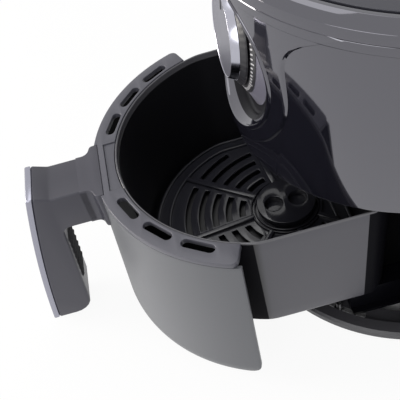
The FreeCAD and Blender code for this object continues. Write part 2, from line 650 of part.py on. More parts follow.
def build_upper_housing():
    shell = revolved("head_shell", (
        ("lip_inner", "head_floor"),
        ("body_radius", "head_floor"),
        ("body_radius", "hood_level + body_radius / 2"),
        ("body_radius - wall_thick", "hood_level + body_radius / 2"),
        ("body_radius - wall_thick", "head_floor + wall_thick"),
        ("lip_inner", "head_floor + wall_thick")))
    window = box("grille_window", "grille_width + 2 * seat_gap", "body_radius",
                 "grille_height + 2 * seat_gap", x="-grille_width / 2 - seat_gap",
                 y="body_radius / 2", z="grille_level - grille_height / 2 - seat_gap")
    node(cut("head", shell, above_belt("head_top"), dish_hole("head_dish_hole"), window),
         "upper_housing")

    blank = common("grille_blank", band("grille_band", "body_radius", "body_radius - wall_thick",
                                        "grille_level - grille_height / 2",
                                        "grille_level + grille_height / 2", "90", "180"),
                   box("grille_box", "grille_width", "body_radius", "grille_height",
                       x="-grille_width / 2", y="body_radius / 2",
                       z="grille_level - grille_height / 2"))
    slats = []
    rows = int((size("grille_height") - size("slat_gap")) / size("slat_pitch"))
    for row in range(rows):
        middle = row - (rows - 1) / 2.0
        slats.append(box("grille_gap_%d" % row, "grille_width - 3 * slat_pitch", "body_radius",
                         "slat_gap", x="-(grille_width - 3 * slat_pitch) / 2", y="body_radius / 2",
                         z="grille_level + %.1f * slat_pitch - slat_gap / 2" % middle))
    node(cut("grille", blank, *slats), "exhaust_grille")

    hood = revolved("hood_ring", (
        ("body_radius - wall_thick", "-belt_height"),
        ("body_radius + belt_proud", "-belt_height"),
        ("body_radius + belt_proud", "0"),
        ("body_radius + belt_proud - neck_depth", "neck_bevel"),
        ("body_radius + belt_proud - neck_depth", "neck_height"),
        ("body_radius - neck_depth - shoulder_width", "hood_rise"),
        ("hood_inner", "hood_rise"),
        ("hood_inner", "hood_rise - panel_plate"),
        ("hood_inner - hood_ledge", "hood_rise - panel_plate"),
        ("hood_inner - hood_ledge", "hood_rise - panel_plate - wall_thick"),
        ("body_radius - wall_thick", "hood_rise - panel_plate - wall_thick")))
    node(cut("hood", on_hood(hood), dish_hole("hood_dish_hole")), "top_hood")
    panel = revolved("panel_disc", (
        ("0", "hood_rise - panel_plate"),
        ("hood_inner - groove_width", "hood_rise - panel_plate"),
        ("hood_inner - groove_width", "hood_rise - panel_bevel"),
        ("hood_inner - groove_width - panel_bevel", "hood_rise"),
        ("0", "hood_rise")))
    node(on_hood(panel), "top_panel")

    face = fuse("collar_face",
                rod("collar_disc", "collar_radius", "body_radius + dish_depth", axis=X_AXIS, turn="90",
                    z="dial_height"),
                box("collar_wings", "2 * collar_wing", "body_radius + dish_depth", "2 * collar_sweep",
                    x="-collar_wing", y="-body_radius - dish_depth", z="dial_height + wing_level"))
    sweeps = []
    for side, way in (("left", "-1"), ("right", "1")):
        sweeps.append(rod("collar_sweep_" + side, "collar_sweep", "body_radius + dish_depth", axis=X_AXIS,
                          turn="90", x="%s * (collar_radius + collar_sweep)" % way,
                          z="dial_height + wing_level"))
    skin = band("collar_skin", "body_radius + collar_proud", "body_radius", "head_floor + wall_thick",
                "hood_level + body_radius / 2", "-90", "180")
    raised = common("collar_raised", skin, cut("collar_shape", face, *sweeps))
    node(cut("collar", raised, above_belt("collar_top"), dish_hole("collar_hole")), "dial_collar")


def build_dial():
    dish = revolved("dish_turned", (
        ("spindle_radius + spindle_room", "cone_face - dish_wall"),
        ("cone_top - dish_wall", "cone_face - dish_wall"),
        ("cone_foot - dish_wall", "dish_floor - dish_wall"),
        ("dish_radius", "dish_floor - dish_wall"),
        ("dish_radius", "dish_depth / 2"),
        ("dish_radius - dish_wall", "dish_depth / 2"),
        ("dish_radius - dish_wall", "dish_floor"),
        ("cone_foot", "dish_floor"),
        ("cone_top", "cone_face"),
        ("spindle_radius + spindle_room", "cone_face")))
    trim = rod("dish_trim", "body_radius + collar_proud", "2 * body_radius", z="head_floor")
    node(common("dish", on_dial(dish), trim), "dial_dish")
    ring = revolved("scale", (
        ("cone_top - scale_width", "cone_face"),
        ("cone_top - fit_gap", "cone_face"),
        ("cone_top - fit_gap", "cone_face + scale_thick"),
        ("cone_top - scale_width", "cone_face + scale_thick")))
    node(on_dial(ring), "dial_scale")

    grip = revolved("grip_turned", (
        ("spindle_radius", "knob_back"),
        ("knob_skirt", "knob_back"),
        ("knob_waist", "knob_shoulder"),
        ("face_radius - ring_seat", "knob_shoulder"),
        ("face_radius - ring_seat", "knob_front - knob_plate"),
        ("spindle_radius", "knob_front - knob_plate")))
    node(on_dial(grip), "timer_knob")
    ring = revolved("bright_turned", (
        ("face_radius - ring_seat", "knob_shoulder"),
        ("knob_waist", "knob_shoulder"),
        ("knob_waist - ring_edge", "knob_shoulder + ring_edge"),
        ("face_radius + ring_land", "knob_front"),
        ("face_radius", "knob_front"),
        ("face_radius", "knob_front - knob_plate"),
        ("face_radius - ring_seat", "knob_front - knob_plate")))
    node(on_dial(ring), "knob_ring")
    face = revolved("face_turned", (
        ("0", "knob_front - knob_plate"),
        ("face_radius", "knob_front - knob_plate"),
        ("face_radius", "knob_front - fit_gap"),
        ("0", "knob_front - fit_gap")))
    node(on_dial(face), "knob_face")

    middle = "timer_back + timer_depth / 2"
    spindle = revolved("spindle_turned", (
        ("0", middle),
        ("spindle_radius", middle),
        ("spindle_radius", "knob_front - knob_plate"),
        ("0", "knob_front - knob_plate")))
    node(on_dial(spindle), "timer_spindle")
    case = new_body("timer_body")
    sketch = outline(case, "XY_Plane", (
        ("-timer_side / 2", "-timer_side / 2"),
        ("timer_side / 2", "-timer_side / 2"),
        ("timer_side / 2", "timer_side / 2"),
        ("-timer_side / 2", "timer_side / 2")), offset="timer_back")
    pad = case.newObject("PartDesign::Pad", "timer_pad")
    pad.Profile = sketch
    bind(pad, {"Length": "timer_depth"})
    stand = revolved("timer_boss", (
        ("spindle_radius + spindle_fit", middle + " - spindle_room"),
        ("spindle_radius + boss_wall", middle + " - spindle_room"),
        ("spindle_radius + boss_wall", "cone_face - dish_wall"),
        ("spindle_radius + spindle_fit", "cone_face - dish_wall")))
    bore = rod("timer_bore", "spindle_radius + spindle_fit", "2 * timer_depth",
               y="-body_radius - (%s - spindle_room) * cos(dial_tilt)" % middle,
               z="dial_height + (%s - spindle_room) * sin(dial_tilt)" % middle,
               axis=X_AXIS, turn="90 - dial_tilt")
    node(cut("timer", fuse("timer_solid", on_dial(case), on_dial(stand)), bore), "timer_unit")


def build_heating():
    top = "liner_top"
    step = "head_floor + wall_thick + liner_step"
    leg_place = "sqrt(heater_radius ^ 2 - heater_half ^ 2)"
    cup = revolved("liner_turned", (
        ("shaft_radius + shaft_room", top + " - sheet_thick"),
        ("liner_crown - sheet_thick", top + " - sheet_thick"),
        ("liner_crown - sheet_thick", step + " + liner_slope"),
        ("liner_radius - sheet_thick", step),
        ("liner_radius - sheet_thick", "head_floor + wall_thick"),
        ("body_radius - wall_thick - seat_gap", "head_floor + wall_thick"),
        ("body_radius - wall_thick - seat_gap", "head_floor + wall_thick + sheet_thick"),
        ("liner_radius", "head_floor + wall_thick + sheet_thick"),
        ("liner_radius", step),
        ("liner_crown", step + " + liner_slope"),
        ("liner_crown", top),
        ("shaft_radius + shaft_room", top)))
    holes = []
    bores = []
    for side, way in (("left", "-1"), ("right", "1")):
        spot = {"x": "%s * heater_half" % way, "y": leg_place, "z": "head_floor"}
        holes.append(rod("leg_hole_" + side, "heater_pin + seat_gap", "2 * liner_height", **spot))
        bores.append(rod("leg_bore_" + side, "heater_pin + seat_gap", "2 * liner_height", **spot))
    node(cut("liner", cup, *holes), "chamber_liner")
    shield = revolved("shield_turned", (
        ("hub_radius + shaft_room", top),
        ("shield_radius", top),
        ("shield_radius", "shield_top"),
        ("hub_radius + shaft_room", "shield_top")))
    node(cut("shield", shield, *bores), "heat_shield")

    ring = doc.addObject("Part::Torus", "heater_ring")
    level = top + " - heater_drop"
    bind(ring, {"Radius1": "heater_radius", "Radius2": "heater_tube"})
    place(ring, z=level)
    pieces = [ring]
    for side, way in (("left", "-1"), ("right", "1")):
        pieces.append(rod("heater_leg_" + side, "heater_pin", "heater_drop + 3 * heater_tube",
                          x="%s * heater_half" % way, y=leg_place, z=level))
    node(fuse("heater", *pieces), "heater_element")

    low = "head_floor + wall_thick + sheet_thick + guard_level"
    high = low + " + guard_bar"
    reach = "(liner_radius - sheet_thick - seat_gap)"
    rings = [band("guard_outer", reach, reach + " - guard_ring", low, high, "0", "360"),
             band("guard_small", "guard_inner + guard_ring", "guard_inner", low, high, "0", "360")]
    for number in range(GUARD_SPOKE_COUNT):
        turn = "%d" % (180 * (2 * number + 1) // GUARD_SPOKE_COUNT)
        rings.append(box("guard_spoke_%d" % number, reach + " - guard_inner - guard_bar", "guard_bar",
                         "guard_bar", x="(guard_inner + guard_bar / 2) * cos(%s) + guard_bar / 2 * sin(%s)"
                         % (turn, turn), y="(guard_inner + guard_bar / 2) * sin(%s) - guard_bar / 2 * cos(%s)"
                         % (turn, turn), z=low, turn=turn))
    node(fuse("guard", *rings), "heater_guard")

    bracket = revolved("bracket_turned", (
        ("motor_radius + 2 * bracket_wall", "shield_top"),
        ("bracket_radius", "shield_top"),
        ("bracket_radius", "shield_top + bracket_wall"),
        ("motor_radius + 3 * bracket_wall", "shield_top + bracket_wall"),
        ("motor_radius + 3 * bracket_wall", "motor_floor"),
        ("shaft_radius + 3 * bracket_wall", "motor_floor"),
        ("shaft_radius + 3 * bracket_wall", "motor_floor - bracket_wall"),
        ("motor_radius + 2 * bracket_wall", "motor_floor - bracket_wall")))
    node(bracket, "motor_bracket")
    motor = revolved("motor_turned", (
        ("shaft_radius + spindle_fit", "motor_floor"),
        ("motor_radius - motor_bevel", "motor_floor"),
        ("motor_radius", "motor_floor + motor_bevel"),
        ("motor_radius", "motor_top - motor_bevel"),
        ("motor_radius - motor_bevel", "motor_top"),
        ("shaft_radius + spindle_fit", "motor_top")))
    node(motor, "motor")
    node(rod("cutout", "cutout_radius", "cutout_height", x="-cutout_place", z="shield_top"),
         "thermal_cutout")
    node(box("block", "block_length", "block_width", "block_height", x="-block_length / 2",
             y="block_place", z="shield_top"), "terminal_block")


def build_fans():
    fan_top = "liner_top - sheet_thick - fan_drop"
    fan_low = "(%s - fan_depth - fan_plate)" % fan_top
    cooler_low = "(%s + cooler_gap)" % "motor_top"
    cooler_top = "(%s + cooler_depth + fan_plate)" % cooler_low
    node(rod("shaft", "shaft_radius", "%s - %s" % (cooler_top, fan_low), z=fan_low), "motor_shaft")
    for name, label, radius, low, depth, plate_low in (
            ("fan", "convection_fan", "fan_radius", fan_low, "fan_depth", fan_top + " - fan_plate"),
            ("cooler", "cooling_fan", "cooler_radius", "(%s + fan_plate)" % cooler_low,
             "cooler_depth", cooler_low)):
        core = band(name + "_hub", "hub_radius", "shaft_radius", low, low + " + " + depth, "0", "360")
        disc = band(name + "_plate", radius, "shaft_radius", plate_low, plate_low + " + fan_plate",
                    "0", "360")
        blades = []
        for number in range(BLADE_COUNT):
            turn = "%d" % (360 * number // BLADE_COUNT)
            blades.append(box("%s_blade_%d" % (name, number), radius + " - hub_radius",
                              "fan_plate", depth,
                              x="(hub_radius - fan_plate) * cos(%s)" % turn,
                              y="(hub_radius - fan_plate) * sin(%s)" % turn, z=low, turn=turn))
        node(fuse(name + "_solid", core, disc, *blades), label)


def build_drawer():
    pan = new_body("pan_body")
    low = pan_outline(pan, "pan_low", "pan_half - pan_taper", "pan_corner", "pan_bottom")
    high = pan_outline(pan, "pan_high", "pan_half", "pan_corner", "pan_top")
    outside = pan.newObject("PartDesign::AdditiveLoft", "pan_outside")
    outside.Profile = low
    outside.Sections = [high]
    outside.Ruled = True
    bend = "pan_corner - pan_wall"
    floor = pan_outline(pan, "pan_floor", "pan_half - pan_taper - pan_wall", bend, "pan_floor")
    mouth = pan_outline(pan, "pan_mouth", "pan_half - pan_wall", bend, "pan_top + seat_gap")
    inside = pan.newObject("PartDesign::SubtractiveLoft", "pan_inside")
    inside.Profile = floor
    inside.Sections = [mouth]
    inside.Ruled = True
    place(pan, y="-drawer_out")
    node(pan, "pan")

    start, sweep = "-flange_half", "2 * flange_half"
    lip_low = "flange_top - lip_height"
    lip_inner = "body_radius - wall_thick"
    seat = "pan_half + seat_gap"
    top = band("flange_plate", "body_radius", seat, "flange_top - flange_thick", "flange_top",
               start, sweep, y="-drawer_out")
    lip = band("flange_lip", "body_radius", lip_inner, lip_low, "flange_top", start, sweep, y="-drawer_out")
    tools = [box("root_notch", "2 * (root_half + seat_gap)", "2 * root_depth", "2 * lip_height",
                 x="-root_half - seat_gap", y="-drawer_out - root_face + seat_gap - 2 * root_depth",
                 z="flange_top - 1.5 * lip_height"),
             box("cover_notch", "2 * (cover_half + seat_gap)", "cover_depth + 2 * seat_gap",
                 "flange_thick", x="-cover_half - seat_gap",
                 y="-drawer_out - cover_place - cover_depth / 2 - seat_gap",
                 z="flange_top - cover_drop - cover_thick")]
    for side, way in (("left", "-1"), ("right", "1")):
        for number in range(3):
            turn = "(%s * (slot_first + %d * slot_step))" % (way, number)
            tools.append(flange_slot("slot_%s_%d" % (side, number), turn))
    node(cut("flange", fuse("flange_solid", top, lip), *tools), "drawer_flange")
    node(box("cover", "2 * cover_half", "cover_depth", "cover_thick", x="-cover_half",
             y="-drawer_out - cover_place - cover_depth / 2",
             z="flange_top - cover_drop - cover_thick"), "screw_cover")
    build_front()


def flange_slot(name, turn):
    """A slot with round ends, along the flange at an angle from the front."""
    run = "(slot_length - slot_width)"
    mid_x = "slot_radius * sin(%s)" % turn
    mid_y = "-drawer_out - slot_radius * cos(%s)" % turn
    low = "flange_top - 2 * flange_thick"
    tall = "4 * flange_thick"
    middle = box(name + "_middle", run, "slot_width", tall, turn=turn, z=low,
                 x="%s - %s / 2 * cos(%s) + slot_width / 2 * sin(%s)" % (mid_x, run, turn, turn),
                 y="%s - %s / 2 * sin(%s) - slot_width / 2 * cos(%s)" % (mid_y, run, turn, turn))
    ends = [rod("%s_end_%s" % (name, word), "slot_width / 2", tall, z=low,
                x="%s + %s * %s / 2 * cos(%s)" % (mid_x, sign, run, turn),
                y="%s + %s * %s / 2 * sin(%s)" % (mid_y, sign, run, turn))
            for word, sign in (("near", "-1"), ("far", "1"))]
    return fuse(name, middle, *ends)


def build_front():
    top = "flange_top - lip_height - seat_gap"
    front = revolved("front_shell", (
        ("-body_radius", top),
        ("-body_radius - panel_flare", "panel_bottom"),
        ("-body_radius - panel_flare + panel_wall", "panel_bottom"),
        ("-body_radius + panel_wall", top)), role="YZ_Plane", sweep="2 * panel_half")
    doc.recompute()
    corners = []
    radius = size("body_radius") + size("panel_flare") - size("panel_wall") / 2
    for way in (-1, 1):
        turned = FreeCAD.Rotation(Z_AXIS, way * (size("opening_half") - size("panel_reveal")))
        corners.append(turned.multVec(FreeCAD.Vector(0, -radius, size("panel_bottom"))))
    rounded(front, corners, "panel_corner")
    place(front, y="-drawer_out")
    notch = box("front_notch", "2 * (root_half + seat_gap)", "4 * root_depth",
                "arm_depth + seat_gap", x="-root_half - seat_gap", z="arm_under - seat_gap",
                y="-drawer_out - root_face - 2 * root_depth")
    node(cut("front", front, notch), "drawer_front")


def grip_outer(share, lift="0"):
    """A point on the grip's outer face, as a share of the way down, with its bow."""
    level = "(%s + lip_rise) * (1 - %s) + grip_tip * %s" % ("flange_top", share, share)
    reach = "-(grip_reach + grip_lean * %s + 4 * grip_bow * %s * (1 - %s) + %s)" % (
        share, share, share, lift)
    return reach, level


def grip_inner(level):
    """A point on the grip's inner face at a height."""
    return "-(grip_inner + grip_swell * (%s - %s) / (%s - grip_tip))" % ("arm_under", level, "arm_under")


def build_handle():
    share = ("0", "0.25", "0.5", "0.75", "1")
    outer = [grip_outer(part) for part in share]
    arm = padded("arm_body", "YZ_Plane", (
        ("-root_face", "flange_top"),
        ("-crease_reach", "flange_top"),
        *outer,
        (grip_inner("grip_tip"), "grip_tip"),
        ("-grip_inner", "arm_under"),
        ("-root_face", "arm_under")), "2 * arm_half")
    doc.recompute()
    lean = size("body_radius") + size("hand_room") + size("grip_swell")
    tip = FreeCAD.Vector(0, -lean, size("grip_tip"))
    rounded(arm, [tip], "tip_round")
    place(arm, y="-drawer_out")
    root = box("handle_root", "2 * root_half", "root_depth", "arm_depth", x="-root_half",
               y="-drawer_out - root_face - root_depth", z="arm_under")
    screws = []
    holes = []
    for side, way in (("left", "-1"), ("right", "1")):
        spot = {"x": "%s * root_half / 2" % way, "axis": X_AXIS, "turn": "90",
                "z": "%s + arm_depth / 3" % "arm_under"}
        shank = rod("handle_shank_" + side, "screw_radius", "root_depth + 2 * screw_cap",
                    y="-drawer_out - root_face", **spot)
        cap = rod("handle_cap_" + side, "screw_head", "screw_cap",
                  y="-drawer_out - root_face + screw_cap", **spot)
        screws.append(fuse("handle_screw_" + side, shank, cap))
        holes.append(rod("handle_hole_" + side, "screw_radius + seat_gap",
                         "root_depth + 2 * screw_cap + 2 * fit_gap",
                         y="-drawer_out - root_face + fit_gap", **spot))
    node(cut("handle", fuse("handle_solid", arm, root), *holes), "handle_shell")
    node(group("handle_screw_pair", *screws), "handle_screws")

    lifted = [grip_outer(part, "trim_thick") for part in reversed(share)]
    trim = padded("trim_body", "YZ_Plane", (*outer, *lifted), "2 * arm_half")
    node(place(trim, y="-drawer_out"), "handle_trim")
    strip = padded("strip_body", "YZ_Plane", (
        (grip_inner("insert_top"), "insert_top"),
        (grip_inner("insert_bottom"), "insert_bottom"),
        (grip_inner("insert_bottom") + " + insert_thick", "insert_bottom"),
        (grip_inner("insert_top") + " + insert_thick", "insert_top")), "2 * insert_half")
    node(place(strip, y="-drawer_out"), "grip_strip")


def tray_slab(name, half, corner, bottom, height):
    """A flat slab with the pan's outline."""
    body = new_body(name)
    pad = body.newObject("PartDesign::Pad", name + "_pad")
    pad.Profile = pan_outline(body, name + "_outline", half, corner, bottom)
    bind(pad, {"Length": height})
    return place(body, y="-drawer_out")


def build_tray():
    slab = tray_slab("tray_slab", "tray_half", "tray_corner", "tray_level", "tray_rise")
    hollow = tray_slab("tray_hollow", "field_half", "field_corner", "tray_top", "tray_rise")
    field = tray_slab("tray_field", "field_half", "field_corner", "tray_top", "spoke_rise")
    open_field = tray_slab("tray_open_field", "field_half - gap_edge / 2", "field_corner - gap_edge / 2",
                           "tray_level - tray_thick", "3 * tray_thick")

    spokes = []
    gaps = []
    inner = "(hub_ring - tray_thick)"
    reach = "tray_half + hub_back - " + inner
    pitch = "(field_half + hub_back - gap_edge - gap_first - gap_width) / %d" % (GAP_COUNT - 1)
    for number in range(SPOKE_COUNT):
        angle = "(%d + tray_turn)" % (360 * number // SPOKE_COUNT)
        spokes.append(box("spoke_%d" % number, reach, "spoke_width", "spoke_rise",
                          x="%s * sin(%s) + spoke_width / 2 * cos(%s)" % (inner, angle, angle),
                          y="-hub_place - %s * cos(%s) + spoke_width / 2 * sin(%s)"
                          % (inner, angle, angle), z="tray_top", turn="270 + " + angle))
        for row in range(GAP_COUNT):
            near = "(gap_first + %d * %s)" % (row, pitch)
            start = "(%s + %.1f - gap_half)" % (angle, 180.0 / SPOKE_COUNT)
            gaps.append(band("gap_%d_%d" % (number, row), near + " + gap_width", near,
                             "tray_level - tray_thick", "tray_top + tray_thick", start,
                             "2 * gap_half", y="-hub_place"))
    ring = band("hub_ring_band", "hub_ring", "puck_radius + seat_gap", "tray_top",
                "tray_top + spoke_rise", "0", "360", y="-hub_place")
    openings = common("tray_openings", fuse("tray_gaps", *gaps), open_field)
    plate = cut("tray_plate", slab, hollow, openings)
    ribs = common("tray_ribs", fuse("tray_spokes", *spokes), field)
    node(fuse("tray", plate, ring, ribs), "crisper_tray")

    puck = rod("puck_disc", "puck_radius", "puck_height", y="-hub_place", z="tray_top")
    holes = [rod("finger_%s" % word, "finger_radius", "puck_height", z="tray_top + finger_floor",
                 y="-hub_place + %s * finger_place" % way)
             for word, way in (("front", "-1"), ("rear", "1"))]
    node(cut("puck", puck, *holes), "tray_puck")
    bumpers = []
    for name, x, y in (("front", "0", "-tray_half"), ("left", "-tray_half", "pan_side / 2"),
                       ("right", "tray_half", "pan_side / 2"), ("rear", "0", "pan_side + tray_corner")):
        stub = rod("bumper_%s" % name, "bumper_radius", "tray_rise", x=x, z="tray_level",
                   y="-drawer_out + " + y)
        bumpers.append(cut("bumper_cut_%s" % name, stub, slab))
    node(group("bumper_set", *bumpers), "tray_bumpers")


def check_and_write():
    doc.recompute()
    for item in doc.Objects:
        if "Invalid" in item.State or "Error" in item.State:
            raise RuntimeError("%s did not build: %s" % (item.Label, item.State))
    os.makedirs("parts", exist_ok=True)
    for item in nodes:
        shape = item.Shape
        if shape.isNull() or not shape.isValid() or not shape.Solids:
            raise RuntimeError("%s is not a sound solid" % item.Label)
        shape.exportStep("parts/%s.step" % item.Label)
        print("%s: %d solid(s), %.0f mm3" % (item.Label, len(shape.Solids), shape.Volume))


build_base()
build_lower_housing()
build_upper_housing()
build_dial()
build_heating()
build_fans()
build_drawer()
build_handle()
build_tray()
check_and_write()
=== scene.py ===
"""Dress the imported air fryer: smooth visual pieces, procedural finishes, camera and a plain white stage."""

import json
import math

import bmesh
import bpy
from mathutils import Matrix, Vector


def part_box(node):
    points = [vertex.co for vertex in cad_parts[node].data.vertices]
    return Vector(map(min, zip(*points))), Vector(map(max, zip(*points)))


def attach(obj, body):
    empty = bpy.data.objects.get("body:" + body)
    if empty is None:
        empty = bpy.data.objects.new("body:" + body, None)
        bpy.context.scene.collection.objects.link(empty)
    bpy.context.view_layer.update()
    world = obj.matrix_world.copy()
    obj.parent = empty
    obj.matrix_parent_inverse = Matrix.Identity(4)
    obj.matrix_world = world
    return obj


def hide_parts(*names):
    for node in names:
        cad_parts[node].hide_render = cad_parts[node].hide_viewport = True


bl_info = {
    "name": "Air fryer dressing",
    "version": (1, 0, 0),
    "blender": (4, 5, 0),
    "location": "View3D > Sidebar > Air fryer",
    "description": "Builds the visual pieces of a countertop air fryer around its CAD frame",
    "category": "Object",
}

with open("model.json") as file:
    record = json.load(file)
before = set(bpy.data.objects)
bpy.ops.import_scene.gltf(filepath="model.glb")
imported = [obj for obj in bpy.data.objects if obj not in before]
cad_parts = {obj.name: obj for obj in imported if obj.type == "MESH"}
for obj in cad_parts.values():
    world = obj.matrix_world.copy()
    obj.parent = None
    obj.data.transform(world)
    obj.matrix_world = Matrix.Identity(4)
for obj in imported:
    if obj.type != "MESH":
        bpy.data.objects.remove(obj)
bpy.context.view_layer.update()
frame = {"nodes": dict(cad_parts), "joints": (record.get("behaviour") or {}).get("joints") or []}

MM = 0.001
FULL_TURN = 2 * math.pi
QUARTER_TURN = math.pi / 2

# What the object has a fixed number of
SPOKES = 8
SLOTS_PER_SIDE = 3
SCALE_MARKS = 72
LONG_MARK_EVERY = 6
KNOB_FLUTES = 48

# How finely the shapes are divided
ROUND_STEPS = 192
FACE_STEPS = 240
PAN_STEPS = 288
TRAY_STEPS = 240
RING_STEPS = 96
HOLE_STEPS = 48
STUB_STEPS = 32
CORNER_STEPS = 5
FLANGE_STEPS = 30
COVER_STEPS = 24
SLOT_END_STEPS = 8
GRIP_STEPS = 24
RIB_STEPS = 12
GAP_SAMPLES = 28
GAP_STEPS = 14
COLLAR_ROWS = 8
COLLAR_EDGE_ROWS = 3
DISH_ROWS = 8
# Rows of the dish that keep the gloss; the deeper rows take painted shade
DISH_GLOSS_ROWS = 12
SOLE_STEPS = 6
WALL_STEPS = 10
PANEL_SIDE_STEPS = 44
PANEL_NOTCH_STEPS = 24
PANEL_TOP_STEPS = 8
PANEL_FALL_STEPS = 24
PANEL_CORNER_STEPS = 12
FLOOR_STEPS = 64
BEVEL_STEPS = 3
PLATE_BEVEL_STEPS = 2
HALVINGS = 24

# Limits for merging points, for sharp edges and for the share of a run that a rounding may take
WELD = 1e-6
SHARP_ANGLE = math.radians(32)
BLUNT_ANGLE = math.radians(50)
CORNER_SHARE = 0.48

# Small sizes of the knob: its grip, its bright ring, its face and its pointer
KNOB_BORE = 3.1 * MM
KNOB_LEDGE = 2 * MM
KNOB_SINK = 1.6 * MM
SKIRT_EDGE = 1.6 * MM
SKIRT_DRAFT = 0.6 * MM
SKIRT_ROUND = 0.8 * MM
SKIRT_SOFT = 0.5 * MM
WAIST_SOFT = 0.3 * MM
FLUTE_START = 1.2 * MM
FLUTE_END = 0.2 * MM
FLUTE_DEPTH = 0.25 * MM
RING_RISE = 1 * MM
RING_DRAFT = 0.5 * MM
RING_SOFT = 0.4 * MM
RING_LIP = 0.6 * MM
RIM_SINK = 0.4 * MM
FACE_SINK = 0.9 * MM
FACE_BORDER = 4 * MM
BORDER_SINK = 0.6 * MM
BORDER_SOFT = 2 * MM
FACE_BACK = 1.5 * MM
POINTER_INSET = 6 * MM
POINTER_SINK = 0.45 * MM
POINTER_WIDTH = 1.6 * MM
POINTER_LENGTH = 8 * MM
POINTER_THICK = 0.5 * MM

# Small sizes of the other pieces; the knee and the rim give shares of a width and of a height
COLLAR_KNEE = (1 / 3, 0.75)
PAN_RIM_PROFILE = ((0.1, 0.2), (0.3, 0), (0.7, 0), (1, 0.3))
PAN_LINING = 1.2
PAN_FLOOR_INSETS = (30 * MM, 60 * MM, 100 * MM)
# Where the painted shade on the pan's outside starts and ends towards its front, and the darkest share it
# leaves
PAN_SHADE_RAMP_START = 33 * MM
PAN_SHADE_RAMP_END = 26 * MM
PAN_SHADE_RAMP_LEAST = 0.05
PANEL_GAP = 0.2 * MM
PANEL_SOFT = 0.8 * MM
GRAIN_DEPTH = 0.2 * MM
GRAIN_DETAIL = 2.0
TINT_DETAIL = 4.0

# Stage, in metres: each lamp's name, width and place
WHITE = (1, 1, 1, 1)
FLOOR_RADIUS = 3.0
FLOOR_ROUGHNESS = 0.8
FLOOR_SPECULAR = 0.1
FLOOR_WHITE_SHARE = 0.93
SHADED_SHARE = 0.9
LAMPS = (("key", 1.2, (-0.3, -0.2, 1.5)), ("fill", 1.0, (1.2, -0.9, 0.9)), ("front", 0.9, (-0.5, -1.6, 0.5)))
LAMP_AIM = (0, 0, 0.1)
SENSOR_WIDTH = 36.0
CLIP_START = 0.01

# Places read from the frame: the housing's axis, the drawer's centre, the tray's hub and the dial's axis
HEAD_LOW, HEAD_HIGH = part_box("upper_housing")
PUCK_LOW, PUCK_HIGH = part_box("tray_puck")
PAN_LOW, PAN_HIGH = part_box("pan")
TIMER_JOINT = next(joint for joint in frame["joints"] if joint["name"] == "timer_turn")
BODY_RADIUS = (HEAD_HIGH.x - HEAD_LOW.x) / 2
AXIS_Y = HEAD_HIGH.y - BODY_RADIUS
DRAWER_Y = PAN_LOW.y + (PAN_HIGH.x - PAN_LOW.x) / 2
HUB_Y = (PUCK_LOW.y + PUCK_HIGH.y) / 2
HUB_OFFSET = HUB_Y - DRAWER_Y
HEAD_FLOOR = HEAD_LOW.z
DIAL_AT = Vector(TIMER_JOINT["pos_m"])
DIAL_OUT = Vector(TIMER_JOINT["axis"]).normalized()
DIAL_SIDE = Vector((1, 0, 0))
DIAL_UP = DIAL_OUT.cross(DIAL_SIDE)
HOUSING = Matrix.Translation((0, AXIS_Y, 0))
DRAWER = Matrix.Translation((0, DRAWER_Y, 0))
HUB = Matrix.Translation((0, HUB_Y, 0))
DIAL = Matrix.Translation(DIAL_AT) @ Matrix((DIAL_SIDE, DIAL_UP, DIAL_OUT)).transposed().to_4x4()


def length(name, millimetres, description):
    """A length property with its default in millimetres."""
    return bpy.props.FloatProperty(name=name, description=description, default=millimetres * MM,
                                   unit="LENGTH", precision=5)


def angle(name, degrees, description):
    """An angle property with its default in degrees."""
    return bpy.props.FloatProperty(name=name, description=description, default=math.radians(degrees),
                                   subtype="ANGLE")


def amount(name, default, description):
    """A plain number property."""
    return bpy.props.FloatProperty(name=name, description=description, default=default)


def colour(name, default, description):
    """A linear colour property."""
    return bpy.props.FloatVectorProperty(name=name, description=description, default=default,
                                         subtype="COLOR", size=3, min=0.0, max=1.0)


